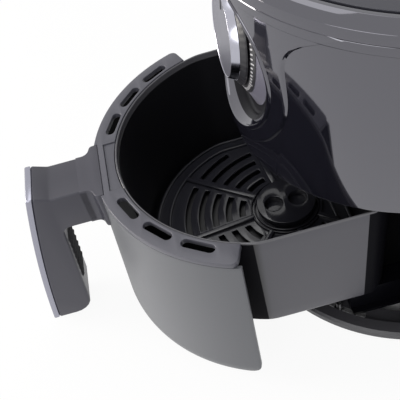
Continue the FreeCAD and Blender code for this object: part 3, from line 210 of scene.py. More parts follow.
class FryerHeadSizes(bpy.types.PropertyGroup):
    """Sizes of the housing and of the dial."""
    wall: length("Wall", 3, "Wall of the plastic shells")
    lip: length("Lip", 9, "Width of the inward lip at the head's lower edge")
    soft_edge: length("Soft edge", 2.2, "Rounding of the head's lower edge")
    hood_level: length("Hood level", 282.5, "Height of the hood's belt on the axis")
    hood_tilt: angle("Hood tilt", 7, "Backward slope of the hood")
    belt: length("Belt", 7, "Height of the hood's belt")
    belt_proud: length("Belt proud", 1.6, "How far the belt stands out of the housing")
    neck: length("Neck", 4.4, "Height of the neck above the belt")
    neck_in: length("Neck in", 3.0, "How far the neck draws in at its top")
    shoulder_in: length("Shoulder in", 5.2, "How far the shoulder's crease lies inside the outside")
    hood_rise: length("Hood rise", 6.2, "Height of the hood's flat ring above the belt")
    hood_border: length("Hood border", 8.5, "Width of the hood outside its round opening")
    hood_soft: length("Hood soft", 0.6, "Rounding of the hood's edges")
    band: length("Band", 7, "Height of the second band under the belt")
    band_proud: length("Band proud", 0.8, "How far the second band stands out of the housing")
    ledge: length("Ledge", 8, "Width of the ledge under the top panel")
    groove: length("Groove", 2.7, "Open groove round the top panel")
    groove_depth: length("Groove depth", 3.2, "Depth of that groove")
    dish_radius: length("Dish radius", 57.2, "Inside radius of the dial's dish")
    dish_edge: length("Dish edge", 1.4, "Least width of the dish's lip")
    dish_flare: length("Dish flare", 4.4, "How far the dish widens beside and under the knob")
    dish_lip: length("Dish lip", 2.6, "How far the lip widens there")
    dish_corner: length("Dish corner", 3, "Rounding at the dish's floor")
    lip_proud: length("Lip proud", 0.9, "How far the lip stands out of the collar")
    dish_depth: length("Dish depth", 20, "Depth of the dish's floor")
    cone_foot: length("Cone foot", 51, "Radius of the raised cone at the floor")
    cone_top: length("Cone top", 38.2, "Radius of the raised cone at its top")
    cone_rise: length("Cone rise", 7.5, "Height of the raised cone")
    scale_inner: length("Scale inner", 33.2, "Inside radius of the graduated ring")
    scale_outer: length("Scale outer", 37.8, "Outside radius of the graduated ring")
    scale_thick: length("Scale thickness", 0.5, "Thickness of the graduated ring")
    slope_outer: length("Slope outer", 41.5, "Outside radius of the scale's sloping border")
    slope_drop: length("Slope drop", 1.6, "How far that border falls")
    mark_long: length("Long mark", 3.0, "Length of every sixth mark of the scale")
    mark_short: length("Short mark", 2.0, "Length of the other marks")
    mark_width: length("Mark width", 1.1, "Width of a mark")
    collar_radius: length("Collar radius", 76, "Radius of the raised collar round the dial")
    collar_proud: length("Collar proud", 1.4, "How far the collar stands out of the housing")
    collar_edge: length("Collar edge", 1.2, "Width of the collar's sloping edge")
    collar_sweep: length("Collar sweep", 30, "Radius of the sweep between collar and belt")
    wing_level: length("Wing level", 18, "Height of the wings' lower end above the dial axis")
    wing_half: length("Wing half", 118, "Half width of the collar where it joins the belt")
    knob_skirt: length("Knob skirt", 36, "Radius of the knob at its back")
    knob_waist: length("Knob waist", 32.2, "Radius of the knob under its bright ring")
    knob_face: length("Knob face", 28.6, "Radius of the knob's face")
    knob_back: length("Knob back", -11, "Place of the knob's back along the dial axis")
    knob_shoulder: length("Knob shoulder", -6.6, "Place of the bright ring's back along the axis")
    knob_front: length("Knob front", -0.9, "Place of the knob's front along the axis")


class FryerDrawerSizes(bpy.types.PropertyGroup):
    """Sizes of the drawer, its handle and the tray."""
    flange_top: length("Flange top", 148, "Height of the drawer's flange")
    flange_thick: length("Flange thickness", 4.6, "Thickness of the drawer's flange")
    flange_half: angle("Flange half", 69.5, "Half angle of the flange")
    flange_corner: length("Flange corner", 5, "Rounding of the flange's outer corners")
    flange_soft: length("Flange soft", 0.5, "Rounding of the flange's edges")
    seam: length("Seam", 0.25, "Space between neighbouring pieces")
    slot_inset: length("Slot inset", 11.4, "Distance of the air slots inside the flange's rim")
    slot_length: length("Slot length", 25, "Length of an air slot")
    slot_width: length("Slot width", 7, "Width of an air slot")
    slot_first: angle("First slot", 23.6, "Angle of the first air slot from the front")
    slot_step: angle("Slot step", 16, "Angle between air slots")
    cover_half: length("Cover half", 26, "Half width of the screw cover")
    cover_far: length("Cover far", 119.8, "Far edge of the screw cover from the drawer's axis")
    cover_drop: length("Cover drop", 1, "How far the screw cover lies under the flange's top")
    panel_half: angle("Panel half", 70.4, "Half angle of the front panel")
    panel_bottom: length("Panel bottom", 14, "Height of the front panel's lower edge")
    panel_flare: length("Panel flare", 6.5, "How far the front panel flares out at its lower edge")
    panel_wall: length("Panel wall", 3, "Thickness of the front panel")
    panel_curl: length("Panel curl", 9, "Height of the panel's lower edge that draws in")
    panel_tuck: length("Panel tuck", 1.6, "How far that edge draws in")
    panel_corner: length("Panel corner", 12, "Rounding of the panel's lower corners")
    pan_half: length("Pan half", 112.6, "Half width of the pan at its rim")
    pan_taper: length("Pan taper", 5.9, "How far the pan's sides draw in at the bottom")
    pan_top: length("Pan top", 147.4, "Height of the pan's rim")
    pan_bottom: length("Pan bottom", 41.4, "Height of the pan's underside")
    pan_wall: length("Pan wall", 1.5, "Wall of the pan")
    pan_side: length("Pan side", 38, "Length of the straight sides behind the centre")
    pan_corner: length("Pan corner", 34, "Rounding of the back corners")
    pan_sole: length("Pan sole", 5, "Rounding between the pan's walls and its floor")
    pan_rim: length("Pan rim", 5, "Height of the bare rim inside the pan")
    pan_flat: length("Pan flat", 3.4, "How far the straight sides lie inside the front's round")
    pan_turn: length("Pan turn", 0.6, "Softness of the turn from front to side")
    # The pan's outside is painted near-black in front of the first distance and behind the second: painted
    # shade and painted reflection
    painted_shade_front: length("Pan front", 31, "Distance of the dark front from the pan's centre")
    painted_shade_back: length("Pan back", 48, "Distance of the dark back from the pan's centre")
    root_half: length("Root half", 28, "Half width of the handle's root")
    root_face: length("Root face", 124.7, "Distance of the handle's root from the drawer's axis")
    root_depth: length("Root depth", 9, "Depth of the handle's root")
    root_step: length("Root step", 6, "Depth of the root's wide foot")
    lap: length("Lap", 0.05, "How far the root stands over the arm that runs into it")
    arm_half: length("Arm half", 19.2, "Half width of the handle")
    arm_depth: length("Arm depth", 34, "Height of the handle's arm")
    crease: length("Crease", 165, "Distance of the crease on the arm's top")
    lip_rise: length("Lip rise", 5, "Rise of the arm's outer end")
    crease_round: length("Crease round", 8, "Rounding of that crease")
    arm_round: length("Arm round", 6, "Rounding between the arm and the grip")
    handle_soft: length("Handle soft", 1.8, "Rounding of the handle's edges")
    grip_reach: length("Grip reach", 177, "Distance of the grip's outer face at its top")
    grip_lean: length("Grip lean", 28, "Outward lean of the grip at its tip")
    grip_bow: length("Grip bow", 2.6, "Bow of the grip's outer face")
    grip_inner: length("Grip inner", 166, "Distance of the grip's inner face at its top")
    grip_swell: length("Grip swell", 8, "Outward lean of the grip's inner face")
    grip_tip: length("Grip tip", 6, "Height of the grip's tip")
    tip_round: length("Tip round", 24, "Rounding of the grip's tip")
    trim_thick: length("Trim thickness", 5, "Thickness of the bright strip")
    trim_soft: length("Trim soft", 1.2, "Rounding of the bright strip")
    strip_half: length("Strip half", 12, "Half width of the ribbed strip inside the grip")
    strip_thick: length("Strip thickness", 1.6, "Height of the strip's ribs")
    strip_top: length("Strip top", 96, "Height of the strip's upper end")
    strip_length: length("Strip length", 52, "Length of the strip")
    strip_ribs: bpy.props.IntProperty(name="Strip ribs", description="Ribs of the strip", default=7)
    tray_half: length("Tray half", 101.6, "Half width of the tray")
    tray_level: length("Tray level", 46.5, "Height of the tray's underside")
    tray_thick: length("Tray thickness", 2, "Thickness of the tray's plate")
    rim_width: length("Rim width", 2.6, "Width of the tray's outer rim and of its inner ridge")
    field_inset: length("Field inset", 13, "Distance of the inner ridge inside the tray's edge")
    tray_soft: length("Tray soft", 0.8, "Rounding of the tray's ridges")
    tray_rise: length("Tray rise", 4, "Height of the outer ring over the underside")
    tray_turn: angle("Tray turn", 6, "Turn of the spokes from the drawer's middle")
    spoke_width: length("Spoke width", 4.6, "Width of a spoke")
    spoke_rise: length("Spoke rise", 2.6, "Height of a spoke above the plate")
    gap_first: length("First gap", 36, "Radius of the innermost curved opening")
    gap_pitch: length("Gap pitch", 12, "Radial pitch of the openings")
    gap_rows: bpy.props.IntProperty(name="Gap rows", description="Rows of openings", default=6)
    gap_width: length("Gap width", 5, "Width of an opening")
    gap_margin: length("Gap margin", 3.2, "Space between an opening and its frame")
    hub_ring: length("Hub ring", 31, "Outside radius of the tray's hub ring")
    puck_radius: length("Puck radius", 25, "Radius of the lifting puck")
    puck_height: length("Puck height", 8, "Height of the lifting puck")
    puck_soft: length("Puck soft", 0.5, "Rounding of the puck")
    finger_floor: length("Finger floor", 1, "Thickness left under the finger holes")
    bumper_radius: length("Bumper radius", 3, "Radius of a soft stub at the tray's edge")
    finger_radius: length("Finger radius", 8, "Radius of the finger holes")
    finger_place: length("Finger place", 10.5, "Distance of a finger hole from the centre")


class FryerStage(bpy.types.PropertyGroup):
    """Camera and light."""
    camera_x: length("Camera X", 390.22, "Camera place along X")
    camera_y: length("Camera Y", -79.32, "Camera place along Y")
    camera_z: length("Camera Z", 504.78, "Camera place along Z")
    azimuth: angle("Azimuth", 89.97, "Direction of the camera round the object")
    elevation: angle("Elevation", 47.09, "Height of the camera's view")
    roll: angle("Roll", -15.25, "Turn of the picture")
    lens: amount("Lens", 62.53, "Focal length in millimetres")
    sky: amount("Sky", 0.42, "Strength of the surrounding light")
    key: amount("Key", 5.0, "Power of the main lamp in watts")
    fill: amount("Fill", 7.0, "Power of the second lamp in watts")
    front: amount("Front", 34.0, "Power of the front lamp in watts")
    front_tint: colour("Front tint", (1.0, 0.95, 0.88), "Colour of the front lamp")
    floor: colour("Floor", (0.86, 0.86, 0.87), "Colour of the floor")


# Shapes

def bent(points, closed=False):
    """A path with its corners rounded; a point's third number is the rounding's radius."""
    count = len(points)
    path = []
    for number, point in enumerate(points):
        here = Vector(point[:2])
        radius = point[2] if len(point) > 2 else 0
        if not radius or (not closed and number in (0, count - 1)):
            path.append(here)
            continue
        before = Vector(points[number - 1][:2]) - here
        after = Vector(points[(number + 1) % count][:2]) - here
        half = before.angle(after) / 2
        reach = min(radius / math.tan(half), CORNER_SHARE * before.length, CORNER_SHARE * after.length)
        real = reach * math.tan(half)
        middle = (before.normalized() + after.normalized()).normalized()
        centre = here + middle * (real / math.sin(half))
        start = here + before.normalized() * reach - centre
        end = here + after.normalized() * reach - centre
        sweep = math.atan2(start.x * end.y - start.y * end.x, start.dot(end))
        for turn in runs(0, (sweep, CORNER_STEPS)):
            path.append(centre + Matrix.Rotation(turn, 2) @ start)
    return path


def runs(*stops):
    """Numbers that pass through the stops, each given with the steps that lead to it."""
    values = [stops[0]]
    for value, steps in stops[1:]:
        first = values[-1]
        for step in range(1, steps + 1):
            values.append(first + (value - first) * step / steps)
    return values


def spun(path, place):
    """A path of radius and height turned about the upright axis."""
    bm = bmesh.new()
    verts = [bm.verts.new((point[0], 0, point[1])) for point in path]
    edges = [bm.edges.new(pair) for pair in zip(verts[:-1], verts[1:])]
    bmesh.ops.spin(bm, geom=verts + edges, cent=(0, 0, 0), axis=(0, 0, 1), angle=FULL_TURN,
                   steps=ROUND_STEPS, use_merge=True)
    bm.transform(place)
    return bm


def woven(across, along, spot):
    """A grid whose rows and columns are put where the spot function says."""
    bm = bmesh.new()
    bmesh.ops.create_grid(bm, x_segments=across, y_segments=along, size=0.5)
    for vert in bm.verts:
        column = round((vert.co.x + 0.5) * across)
        row = round((vert.co.y + 0.5) * along)
        vert.co = spot(column, row)
    return bm


def extruded(corners, way, place):
    """A closed solid: a filled loop of corners drawn out along a way."""
    bm = bmesh.new()
    face = bm.faces.new([bm.verts.new(corner) for corner in corners])
    made = bmesh.ops.extrude_face_region(bm, geom=[face])
    moved = [item for item in made["geom"] if isinstance(item, bmesh.types.BMVert)]
    bmesh.ops.translate(bm, vec=way, verts=moved)
    bm.transform(place)
    return bm


def prism(path, half, place):
    """A side view in Y and Z, thickened half to each side along X."""
    return extruded([(-half, y, z) for y, z in path], (2 * half, 0, 0), place)


def plate(outlines, bottom, thickness, bevel, place):
    """A flat plate with holes: the first path is its outline, the others are its holes."""
    curve = bpy.data.curves.new("plate_outline", "CURVE")
    curve.dimensions = "2D"
    curve.fill_mode = "BOTH"
    curve.extrude = thickness / 2 - bevel
    curve.bevel_depth = bevel
    curve.bevel_resolution = PLATE_BEVEL_STEPS
    curve.offset = -bevel
    for path in outlines:
        spline = curve.splines.new("POLY")
        spline.points.add(len(path) - 1)
        spline.use_cyclic_u = True
        for point, spot in zip(spline.points, path):
            point.co = (spot[0], spot[1], 0, 1)
    carrier = bpy.data.objects.new("plate_outline", curve)
    mesh = bpy.data.meshes.new_from_object(carrier)
    bpy.data.objects.remove(carrier)
    bpy.data.curves.remove(curve)
    bm = bmesh.new()
    bm.from_mesh(mesh)
    bpy.data.meshes.remove(mesh)
    bm.transform(place @ Matrix.Translation((0, 0, bottom + thickness / 2)))
    return bm


def arc(radius, start, end, steps):
    """Points of an arc; angles count from the front, positive towards +X."""
    return [(radius * math.sin(turn), -radius * math.cos(turn)) for turn in runs(start, (end, steps))]


def circle(radius, steps, centre=(0, 0)):
    """Points of a full circle."""
    return [(centre[0] + x, centre[1] + y) for x, y in arc(radius, 0, FULL_TURN, steps)[:-1]]


def joined(*parts):
    """Several meshes as one."""
    bm = bmesh.new()
    for part in parts:
        mesh = bpy.data.meshes.new("part")
        part.to_mesh(mesh)
        part.free()
        bm.from_mesh(mesh)
        bpy.data.meshes.remove(mesh)
    return bm


def painted(bm, number):
    """Give every face of a mesh one of its piece's materials."""
    for face in bm.faces:
        face.material_index = number
    return bm


def merged(bm):
    """Close a mesh's seams and turn its faces outwards."""
    bmesh.ops.remove_doubles(bm, verts=bm.verts, dist=WELD)
    bmesh.ops.recalc_face_normals(bm, faces=bm.faces)
    return bm


def softened(bm, width):
    """Bevel the sharp edges of a mesh."""
    merged(bm)
    sharp = [edge for edge in bm.edges if edge.is_manifold and edge.calc_face_angle() > BLUNT_ANGLE]
    bmesh.ops.bevel(bm, geom=sharp, offset=width, offset_type="OFFSET", segments=BEVEL_STEPS, profile=0.5,
                    affect="EDGES", clamp_overlap=True, material=-1)
    return bm


def object_from(bm, name):
    """A mesh as an object of the scene."""
    mesh = bpy.data.meshes.new(name)
    bm.to_mesh(mesh)
    bm.free()
    item = bpy.data.objects.new(name, mesh)
    bpy.context.scene.collection.objects.link(item)
    return item


def carved(bm, *cutters):
    """Cut closed meshes out of a closed mesh."""
    carrier = object_from(merged(bm), "carved")
    tools = [object_from(merged(cutter), "cutter") for cutter in cutters]
    for tool in tools:
        cut = carrier.modifiers.new("cut", "BOOLEAN")
        cut.operation = "DIFFERENCE"
        cut.solver = "EXACT"
        cut.object = tool
    shaped = carrier.evaluated_get(bpy.context.evaluated_depsgraph_get())
    mesh = bpy.data.meshes.new_from_object(shaped)
    result = bmesh.new()
    result.from_mesh(mesh)
    bpy.data.meshes.remove(mesh)
    for item in (carrier, *tools):
        left = item.data
        bpy.data.objects.remove(item)
        bpy.data.meshes.remove(left)
    return result


def cube(place):
    """A closed unit cube put where a matrix says."""
    bm = bmesh.new()
    bmesh.ops.create_cube(bm, size=1, matrix=place)
    return bm


def block(low, high):
    """A closed box between two corners."""
    return cube(Matrix.Translation((low + high) / 2) @ Matrix.Diagonal((*(high - low), 1)))


def piece(bm, name, body, materials, node):
    """Make a mesh into a visual piece that rides on a body and stands for a CAD node."""
    merged(bm)
    for face in bm.faces:
        face.smooth = True
    for edge in bm.edges:
        edge.smooth = not edge.is_manifold or edge.calc_face_angle() < SHARP_ANGLE
    item = object_from(bm, name)
    for material in materials:
        item.data.materials.append(material)
    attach(item, body)
    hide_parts(node)
    return item


# Finishes

def added(tree, kind, feeds, **settings):
    """A new node with its settings, each of its inputs fed by a socket or set to a value."""
    node = tree.nodes.new(kind)
    for name, value in settings.items():
        setattr(node, name, value)
    for key, value in feeds.items():
        if isinstance(value, bpy.types.NodeSocket):
            tree.links.new(value, node.inputs[key])
        else:
            node.inputs[key].default_value = value
    return node


def finish_group():
    """A node group that varies a colour and a roughness over a surface and gives a fine grain."""
    found = bpy.data.node_groups.get("moulded_finish")
    if found:
        return found
    group = bpy.data.node_groups.new("moulded_finish", "ShaderNodeTree")

    def socket(name, way, kind):
        group.interface.new_socket(name, in_out=way, socket_type=kind)

    socket("Vector", "INPUT", "NodeSocketVector")
    socket("Colour", "INPUT", "NodeSocketColor")
    for name in ("Tint", "Tint Scale", "Roughness", "Shift", "Grain Scale"):
        socket(name, "INPUT", "NodeSocketFloat")
    socket("Base Color", "OUTPUT", "NodeSocketColor")
    socket("Roughness", "OUTPUT", "NodeSocketFloat")
    socket("Height", "OUTPUT", "NodeSocketFloat")

    def blended(value, factor, offset):
        feeds = {0: value, 1: factor, 2: offset}
        return added(group, "ShaderNodeMath", feeds, operation="MULTIPLY_ADD").outputs[0]

    def noise(scale, detail):
        feeds = {"Vector": source["Vector"], "Scale": scale, "Detail": detail}
        return added(group, "ShaderNodeTexNoise", feeds).outputs["Fac"]

    source = group.nodes.new("NodeGroupInput").outputs
    cloud = blended(noise(source["Tint Scale"], TINT_DETAIL), 2.0, -1.0)
    tint = blended(cloud, source["Tint"], 1.0)
    shaded = added(group, "ShaderNodeVectorMath", {0: source["Colour"], "Scale": tint}, operation="SCALE")
    added(group, "NodeGroupOutput", {
        "Base Color": shaded.outputs["Vector"],
        "Roughness": blended(cloud, source["Shift"], source["Roughness"]),
        "Height": noise(source["Grain Scale"], GRAIN_DETAIL),
    })
    return group


def finish(name, tone, roughness, tint=0.06, tint_scale=14.0, shift=0.04, grain=0.0, grain_scale=900.0,
           metallic=0.0, ior=1.5):
    """A material whose colour, roughness and grain come from the shared finish group."""
    own_name = f"{name}_finish"
    found = bpy.data.materials.get(own_name)
    if found:
        return found
    material = bpy.data.materials.new(own_name)
    material.use_nodes = True
    tree = material.node_tree
    shader = tree.nodes["Principled BSDF"].inputs
    shader["Metallic"].default_value = metallic
    shader["IOR"].default_value = ior
    place = tree.nodes.new("ShaderNodeTexCoord")
    group = tree.nodes.new("ShaderNodeGroup")
    group.node_tree = finish_group()
    values = {"Colour": (*tone, 1.0), "Tint": tint, "Tint Scale": tint_scale, "Roughness": roughness,
              "Shift": shift, "Grain Scale": grain_scale}
    for socket, value in values.items():
        group.inputs[socket].default_value = value
    tree.links.new(place.outputs["Object"], group.inputs["Vector"])
    tree.links.new(group.outputs["Base Color"], shader["Base Color"])
    tree.links.new(group.outputs["Roughness"], shader["Roughness"])
    if grain:
        feeds = {"Strength": grain, "Distance": GRAIN_DEPTH, "Height": group.outputs["Height"]}
        tree.links.new(added(tree, "ShaderNodeBump", feeds).outputs["Normal"], shader["Normal"])
    return material


def painted_shade_ramp(material, axis, start, end, least):
    """Paint shade into a material's colour: darken it along an axis of its object, from a share of it up to
    the whole.
    """
    tree = material.node_tree
    if "fade" in tree.nodes:
        return material
    base = tree.nodes["Principled BSDF"].inputs["Base Color"]
    source = base.links[0].from_socket
    place = tree.nodes["Texture Coordinate"].outputs["Object"]
    split = added(tree, "ShaderNodeSeparateXYZ", {0: place})
    feeds = {"Value": split.outputs[axis], "From Min": start, "From Max": end, "To Min": least}
    ramp = added(tree, "ShaderNodeMapRange", feeds, interpolation_type="SMOOTHSTEP")
    feeds = {0: source, "Scale": ramp.outputs["Result"]}
    scale = added(tree, "ShaderNodeVectorMath", feeds, name="fade", operation="SCALE")
    tree.links.new(scale.outputs["Vector"], base)
    return material


def gloss_black():
    material = finish("piano_black", (0.007, 0.007, 0.011), 0.05, tint_scale=6.0, shift=0.015, ior=2.2)
    shader = material.node_tree.nodes["Principled BSDF"]
    shader.inputs["Specular Tint"].default_value = (0.92, 0.91, 1.0, 1.0)
    return material


# Near-black with little reflection: painted shade deep in the dial's dish and inside the drawer bay
def dish_black():
    return finish("dish_black", (0.004, 0.004, 0.006), 0.35, tint_scale=6.0, shift=0.02, ior=1.2)


def cone_grey():
    return finish("cone_grey", (0.110, 0.108, 0.140), 0.32, tint_scale=6.0, shift=0.02)


def satin_grey():
    return finish("satin_grey", (0.088, 0.088, 0.108), 0.38, grain=0.25, grain_scale=1400.0)


def panel_grey():
    return finish("panel_grey", (0.115, 0.119, 0.131), 0.40, grain=0.2, grain_scale=1500.0)


def handle_grey():
    return finish("handle_grey", (0.047, 0.046, 0.062), 0.40, grain=0.3, grain_scale=1200.0)


def top_grey():
    return finish("top_grey", (0.048, 0.048, 0.062), 0.36, grain=0.2, grain_scale=1500.0)


def dark_plastic():
    return finish("dark_plastic", (0.018, 0.018, 0.022), 0.38, grain=0.3, grain_scale=1200.0)


def base_grey():
    return finish("base_grey", (0.060, 0.059, 0.066), 0.40, grain=0.3, grain_scale=1100.0)


def chrome():
    return finish("bright_chrome", (0.44, 0.44, 0.50), 0.16, tint=0.02, shift=0.03, metallic=1.0)


def soft_chrome():
    return finish("soft_chrome", (0.34, 0.34, 0.40), 0.24, tint=0.02, shift=0.03, metallic=1.0)


def brushed_grey():
    return finish("brushed_grey", (0.11, 0.11, 0.14), 0.36, tint=0.05, grain=0.4, grain_scale=2200.0,
                  metallic=0.7)


def white_print():
    return finish("scale_print", (0.42, 0.42, 0.44), 0.5, tint=0.04)


def pan_outside():
    material = finish("pan_outside", (0.065, 0.064, 0.079), 0.36, grain=0.2, grain_scale=1600.0)
    # The outside darkens towards the pan's front: painted shade that softens the edge of the near-black front
    return painted_shade_ramp(material, "Y", DRAWER_Y - PAN_SHADE_RAMP_START, DRAWER_Y - PAN_SHADE_RAMP_END, PAN_SHADE_RAMP_LEAST)


# Near-black with almost no reflection: painted shade and painted reflection on the pan's front and back, and
# painted shade on the front panel's inner side
def pan_shade():
    return finish("pan_shade", (0.006, 0.006, 0.008), 0.5, grain=0.2, grain_scale=1600.0, ior=1.08)


def pan_inside():
    return finish("pan_inside", (0.006, 0.006, 0.008), 0.42, tint=0.2, tint_scale=700.0, grain=0.25,
                  grain_scale=1800.0)


def pan_rim():
    return finish("pan_rim", (0.115, 0.114, 0.126), 0.34, grain=0.15, grain_scale=1600.0)


def tray_enamel():
    return finish("tray_enamel", (0.034, 0.034, 0.044), 0.13, tint=0.15, grain=0.15, grain_scale=700.0,
                  ior=1.6)


def steel():
    return finish("sheet_steel", (0.42, 0.42, 0.43), 0.36, tint=0.08, grain=0.2, grain_scale=1500.0,
                  metallic=1.0)


def heater_steel():
    return finish("heater_steel", (0.20, 0.18, 0.17), 0.42, tint=0.15, grain=0.3, metallic=1.0)


def rubber():
    return finish("soft_rubber", (0.020, 0.020, 0.022), 0.72, tint=0.1, grain=0.5, grain_scale=800.0)


def pale_plastic():
    return finish("pale_plastic", (0.55, 0.53, 0.48), 0.45, grain=0.2)


# Pieces of the head

def on_skin(side, up, proud):
    """The point of the housing's outside in front of a point beside and above the dial's axis."""
    flat = DIAL_AT + DIAL_SIDE * side + DIAL_UP * up
    radius = BODY_RADIUS + proud
    reach = math.sqrt(max(radius ** 2 - flat.x ** 2, 0))
    travel = (AXIS_Y - reach - flat.y) / DIAL_OUT.y
    return flat + DIAL_OUT * travel


def mouth_ease(turn):
    """One beside and under the dial, falling to nothing above it, where the belt is near."""
    return 1 - max(math.sin(turn), 0) ** 2


def dish_mouth(size, turn):
    """Radius of the dish's flared mouth in one direction of its face."""
    return size.dish_radius + size.dish_edge + size.dish_flare * mouth_ease(turn)


def dish_rim(size, turn):
    """Radius of the outside of the lip round that mouth."""
    return dish_mouth(size, turn) + size.dish_edge + size.dish_lip * mouth_ease(turn)


def bore_radius(size, turn):
    """Radius of the hole for the dish, half way across its lip."""
    return (dish_mouth(size, turn) + dish_rim(size, turn)) / 2


def dial_bore(size):
    """A closed plug round the dial's axis that cuts the dish's hole in the shells."""
    corners = []
    for step in range(ROUND_STEPS):
        turn = FULL_TURN * step / ROUND_STEPS
        radius = bore_radius(size, turn)
        corners.append((radius * math.cos(turn), radius * math.sin(turn), -2 * size.dish_depth))
    return extruded(corners, (0, 0, 3 * size.dish_depth), DIAL)


def hood_place(size):
    """Place of the hood: on the housing's axis, sloping backwards."""
    return Matrix.Translation((0, AXIS_Y, size.hood_level)) @ Matrix.Rotation(-size.hood_tilt, 4, "X")


def belt_height(size, y):
    """Height of the belt's lower face at a place along Y from the axis."""
    return size.hood_level - (size.belt + y * math.sin(size.hood_tilt)) / math.cos(size.hood_tilt)


def build_head_shell(size):
    top = size.hood_level
    inner = BODY_RADIUS - size.wall
    lip = inner - size.lip
    floor = HEAD_FLOOR + size.wall
    path = bent([(lip, floor), (lip, HEAD_FLOOR), (BODY_RADIUS, HEAD_FLOOR, size.soft_edge),
                 (BODY_RADIUS, top), (inner, top), (inner, floor)], closed=True)
    bm = spun([*path, path[0]], Matrix())
    for vert in bm.verts:
        if vert.co.z > top - WELD:
            vert.co.z = belt_height(size, vert.co.y)
    bm.transform(HOUSING)
    low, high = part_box("exhaust_grille")
    room = Vector((0, size.wall, 0))
    bm = carved(bm, dial_bore(size), block(low - room, high + room))
    piece(bm, "head_shell", "housing", [gloss_black()], "upper_housing")


def build_hood(size):
    belt, band = BODY_RADIUS + size.belt_proud, BODY_RADIUS + size.band_proud
    inner = BODY_RADIUS - size.hood_border
    wall = BODY_RADIUS - size.wall
    soft = size.hood_soft
    rise = size.hood_rise
    ledge = rise - size.groove_depth
    under = -size.belt - size.band
    path = bent([(wall, under), (BODY_RADIUS, under), (band, under + size.band_proud, soft),
                 (band, -size.belt - size.band_proud, soft), (BODY_RADIUS, -size.belt),
                 (belt, -size.belt, soft), (belt, 0, soft), (BODY_RADIUS - size.neck_in, size.neck, soft),
                 (BODY_RADIUS - size.shoulder_in, rise, soft), (inner, rise, soft), (inner, ledge),
                 (inner - size.ledge, ledge), (inner - size.ledge, ledge - size.wall),
                 (wall, ledge - size.wall)], closed=True)
    bm = carved(spun([*path, path[0]], hood_place(size)), dial_bore(size))
    piece(bm, "hood", "housing", [gloss_black()], "top_hood")
    disc = inner - size.groove
    path = bent([(0, rise), (disc, rise, soft), (disc, ledge), (0, ledge)])
    piece(spun(path, hood_place(size)), "top_disc", "housing", [top_grey()], "top_panel")


def under_belt(size, turn, reach):
    """Whether a point of the dial's face lies under the belt's lower edge."""
    spot = on_skin(reach * math.cos(turn), reach * math.sin(turn), 0)
    return spot.z <= belt_height(size, spot.y - AXIS_Y)


def collar_reach(size, turn):
    """How far the collar reaches from the dial's axis in one direction of its face."""
    least = dish_rim(size, turn)
    reach = size.collar_radius
    way = Vector((abs(math.cos(turn)), math.sin(turn)))
    if way.y > 0:
        sweep = Vector((size.collar_radius + size.collar_sweep, size.wing_level))
        near = way.dot(sweep)
        miss = sweep.length_squared - near ** 2
        reach = size.wing_half
        if way.y * size.collar_radius < way.x * size.wing_level:
            reach = size.collar_radius / way.x
        elif miss < size.collar_sweep ** 2:
            reach = min(reach, near - math.sqrt(size.collar_sweep ** 2 - miss))
    if not under_belt(size, turn, least):
        return least
    if under_belt(size, turn, reach):
        return reach
    low, high = least, reach
    for step in range(HALVINGS):
        middle = (low + high) / 2
        if under_belt(size, turn, middle):
            low = middle
        else:
            high = middle
    return low


def build_collar(size):
    turns = [FULL_TURN * column / FACE_STEPS for column in range(FACE_STEPS)]
    reaches = [collar_reach(size, turn) for turn in turns]
    edge, proud = size.collar_edge, size.collar_proud
    knee_in, knee_up = COLLAR_KNEE

    def spot(column, row):
        turn = turns[column % FACE_STEPS]
        hole = bore_radius(size, turn)
        reach = max(reaches[column % FACE_STEPS], hole + edge)
        rings = [(radius, proud) for radius in runs(hole, (reach - edge, COLLAR_ROWS))]
        rings = [(hole, 0), *rings, (reach - edge * knee_in, proud * knee_up), (reach, 0)]
        radius, lift = rings[row]
        return on_skin(radius * math.cos(turn), radius * math.sin(turn), lift)

    bm = woven(FACE_STEPS, COLLAR_ROWS + COLLAR_EDGE_ROWS, spot)
    piece(bm, "collar", "housing", [gloss_black()], "dial_collar")


def build_dish(size):
    floor = -size.dish_depth
    cone = floor + size.cone_rise
    corner = size.dish_corner
    proud = size.collar_proud + size.lip_proud
    inside = bent([(size.dish_radius, floor + 2 * corner), (size.dish_radius, floor, corner),
                   (size.cone_foot, floor, corner / 2), (size.cone_top, cone, corner / 4),
                   (size.scale_inner, cone)])[1:]

    def spot(column, row):
        turn = FULL_TURN * column / FACE_STEPS
        way = Vector((math.cos(turn), math.sin(turn), 0))
        outer, inner = dish_rim(size, turn), dish_mouth(size, turn)
        if row <= DISH_ROWS:
            swing = math.pi * row / DISH_ROWS
            radius = (outer + inner) / 2 + (outer - inner) / 2 * math.cos(swing)
            return on_skin(radius * way.x, radius * way.y, proud * math.sin(swing))
        row -= DISH_ROWS
        if row <= DISH_ROWS:
            start = on_skin(inner * way.x, inner * way.y, 0)
            end = DIAL @ (way * inside[0].x + Vector((0, 0, inside[0].y)))
            return start.lerp(end, row / DISH_ROWS)
        radius, depth = inside[row - DISH_ROWS]
        return DIAL @ (way * radius + Vector((0, 0, depth)))

    bm = woven(FACE_STEPS, 2 * DISH_ROWS + len(inside) - 1, spot)
    # Past the gloss rows and outside the cone, the dish takes the near-black finish: painted shade deep in
    # the recess
    gloss, dark, pale = 0, 1, 2
    to_dial = DIAL.inverted()
    for number, face in enumerate(bm.faces):
        spread = max((to_dial @ vert.co).xy.length for vert in face.verts)
        if number < DISH_GLOSS_ROWS * FACE_STEPS:
            face.material_index = gloss
        else:
            face.material_index = pale if spread < size.cone_foot + WELD else dark
    piece(bm, "dish", "housing", [gloss_black(), dish_black(), cone_grey()], "dial_dish")


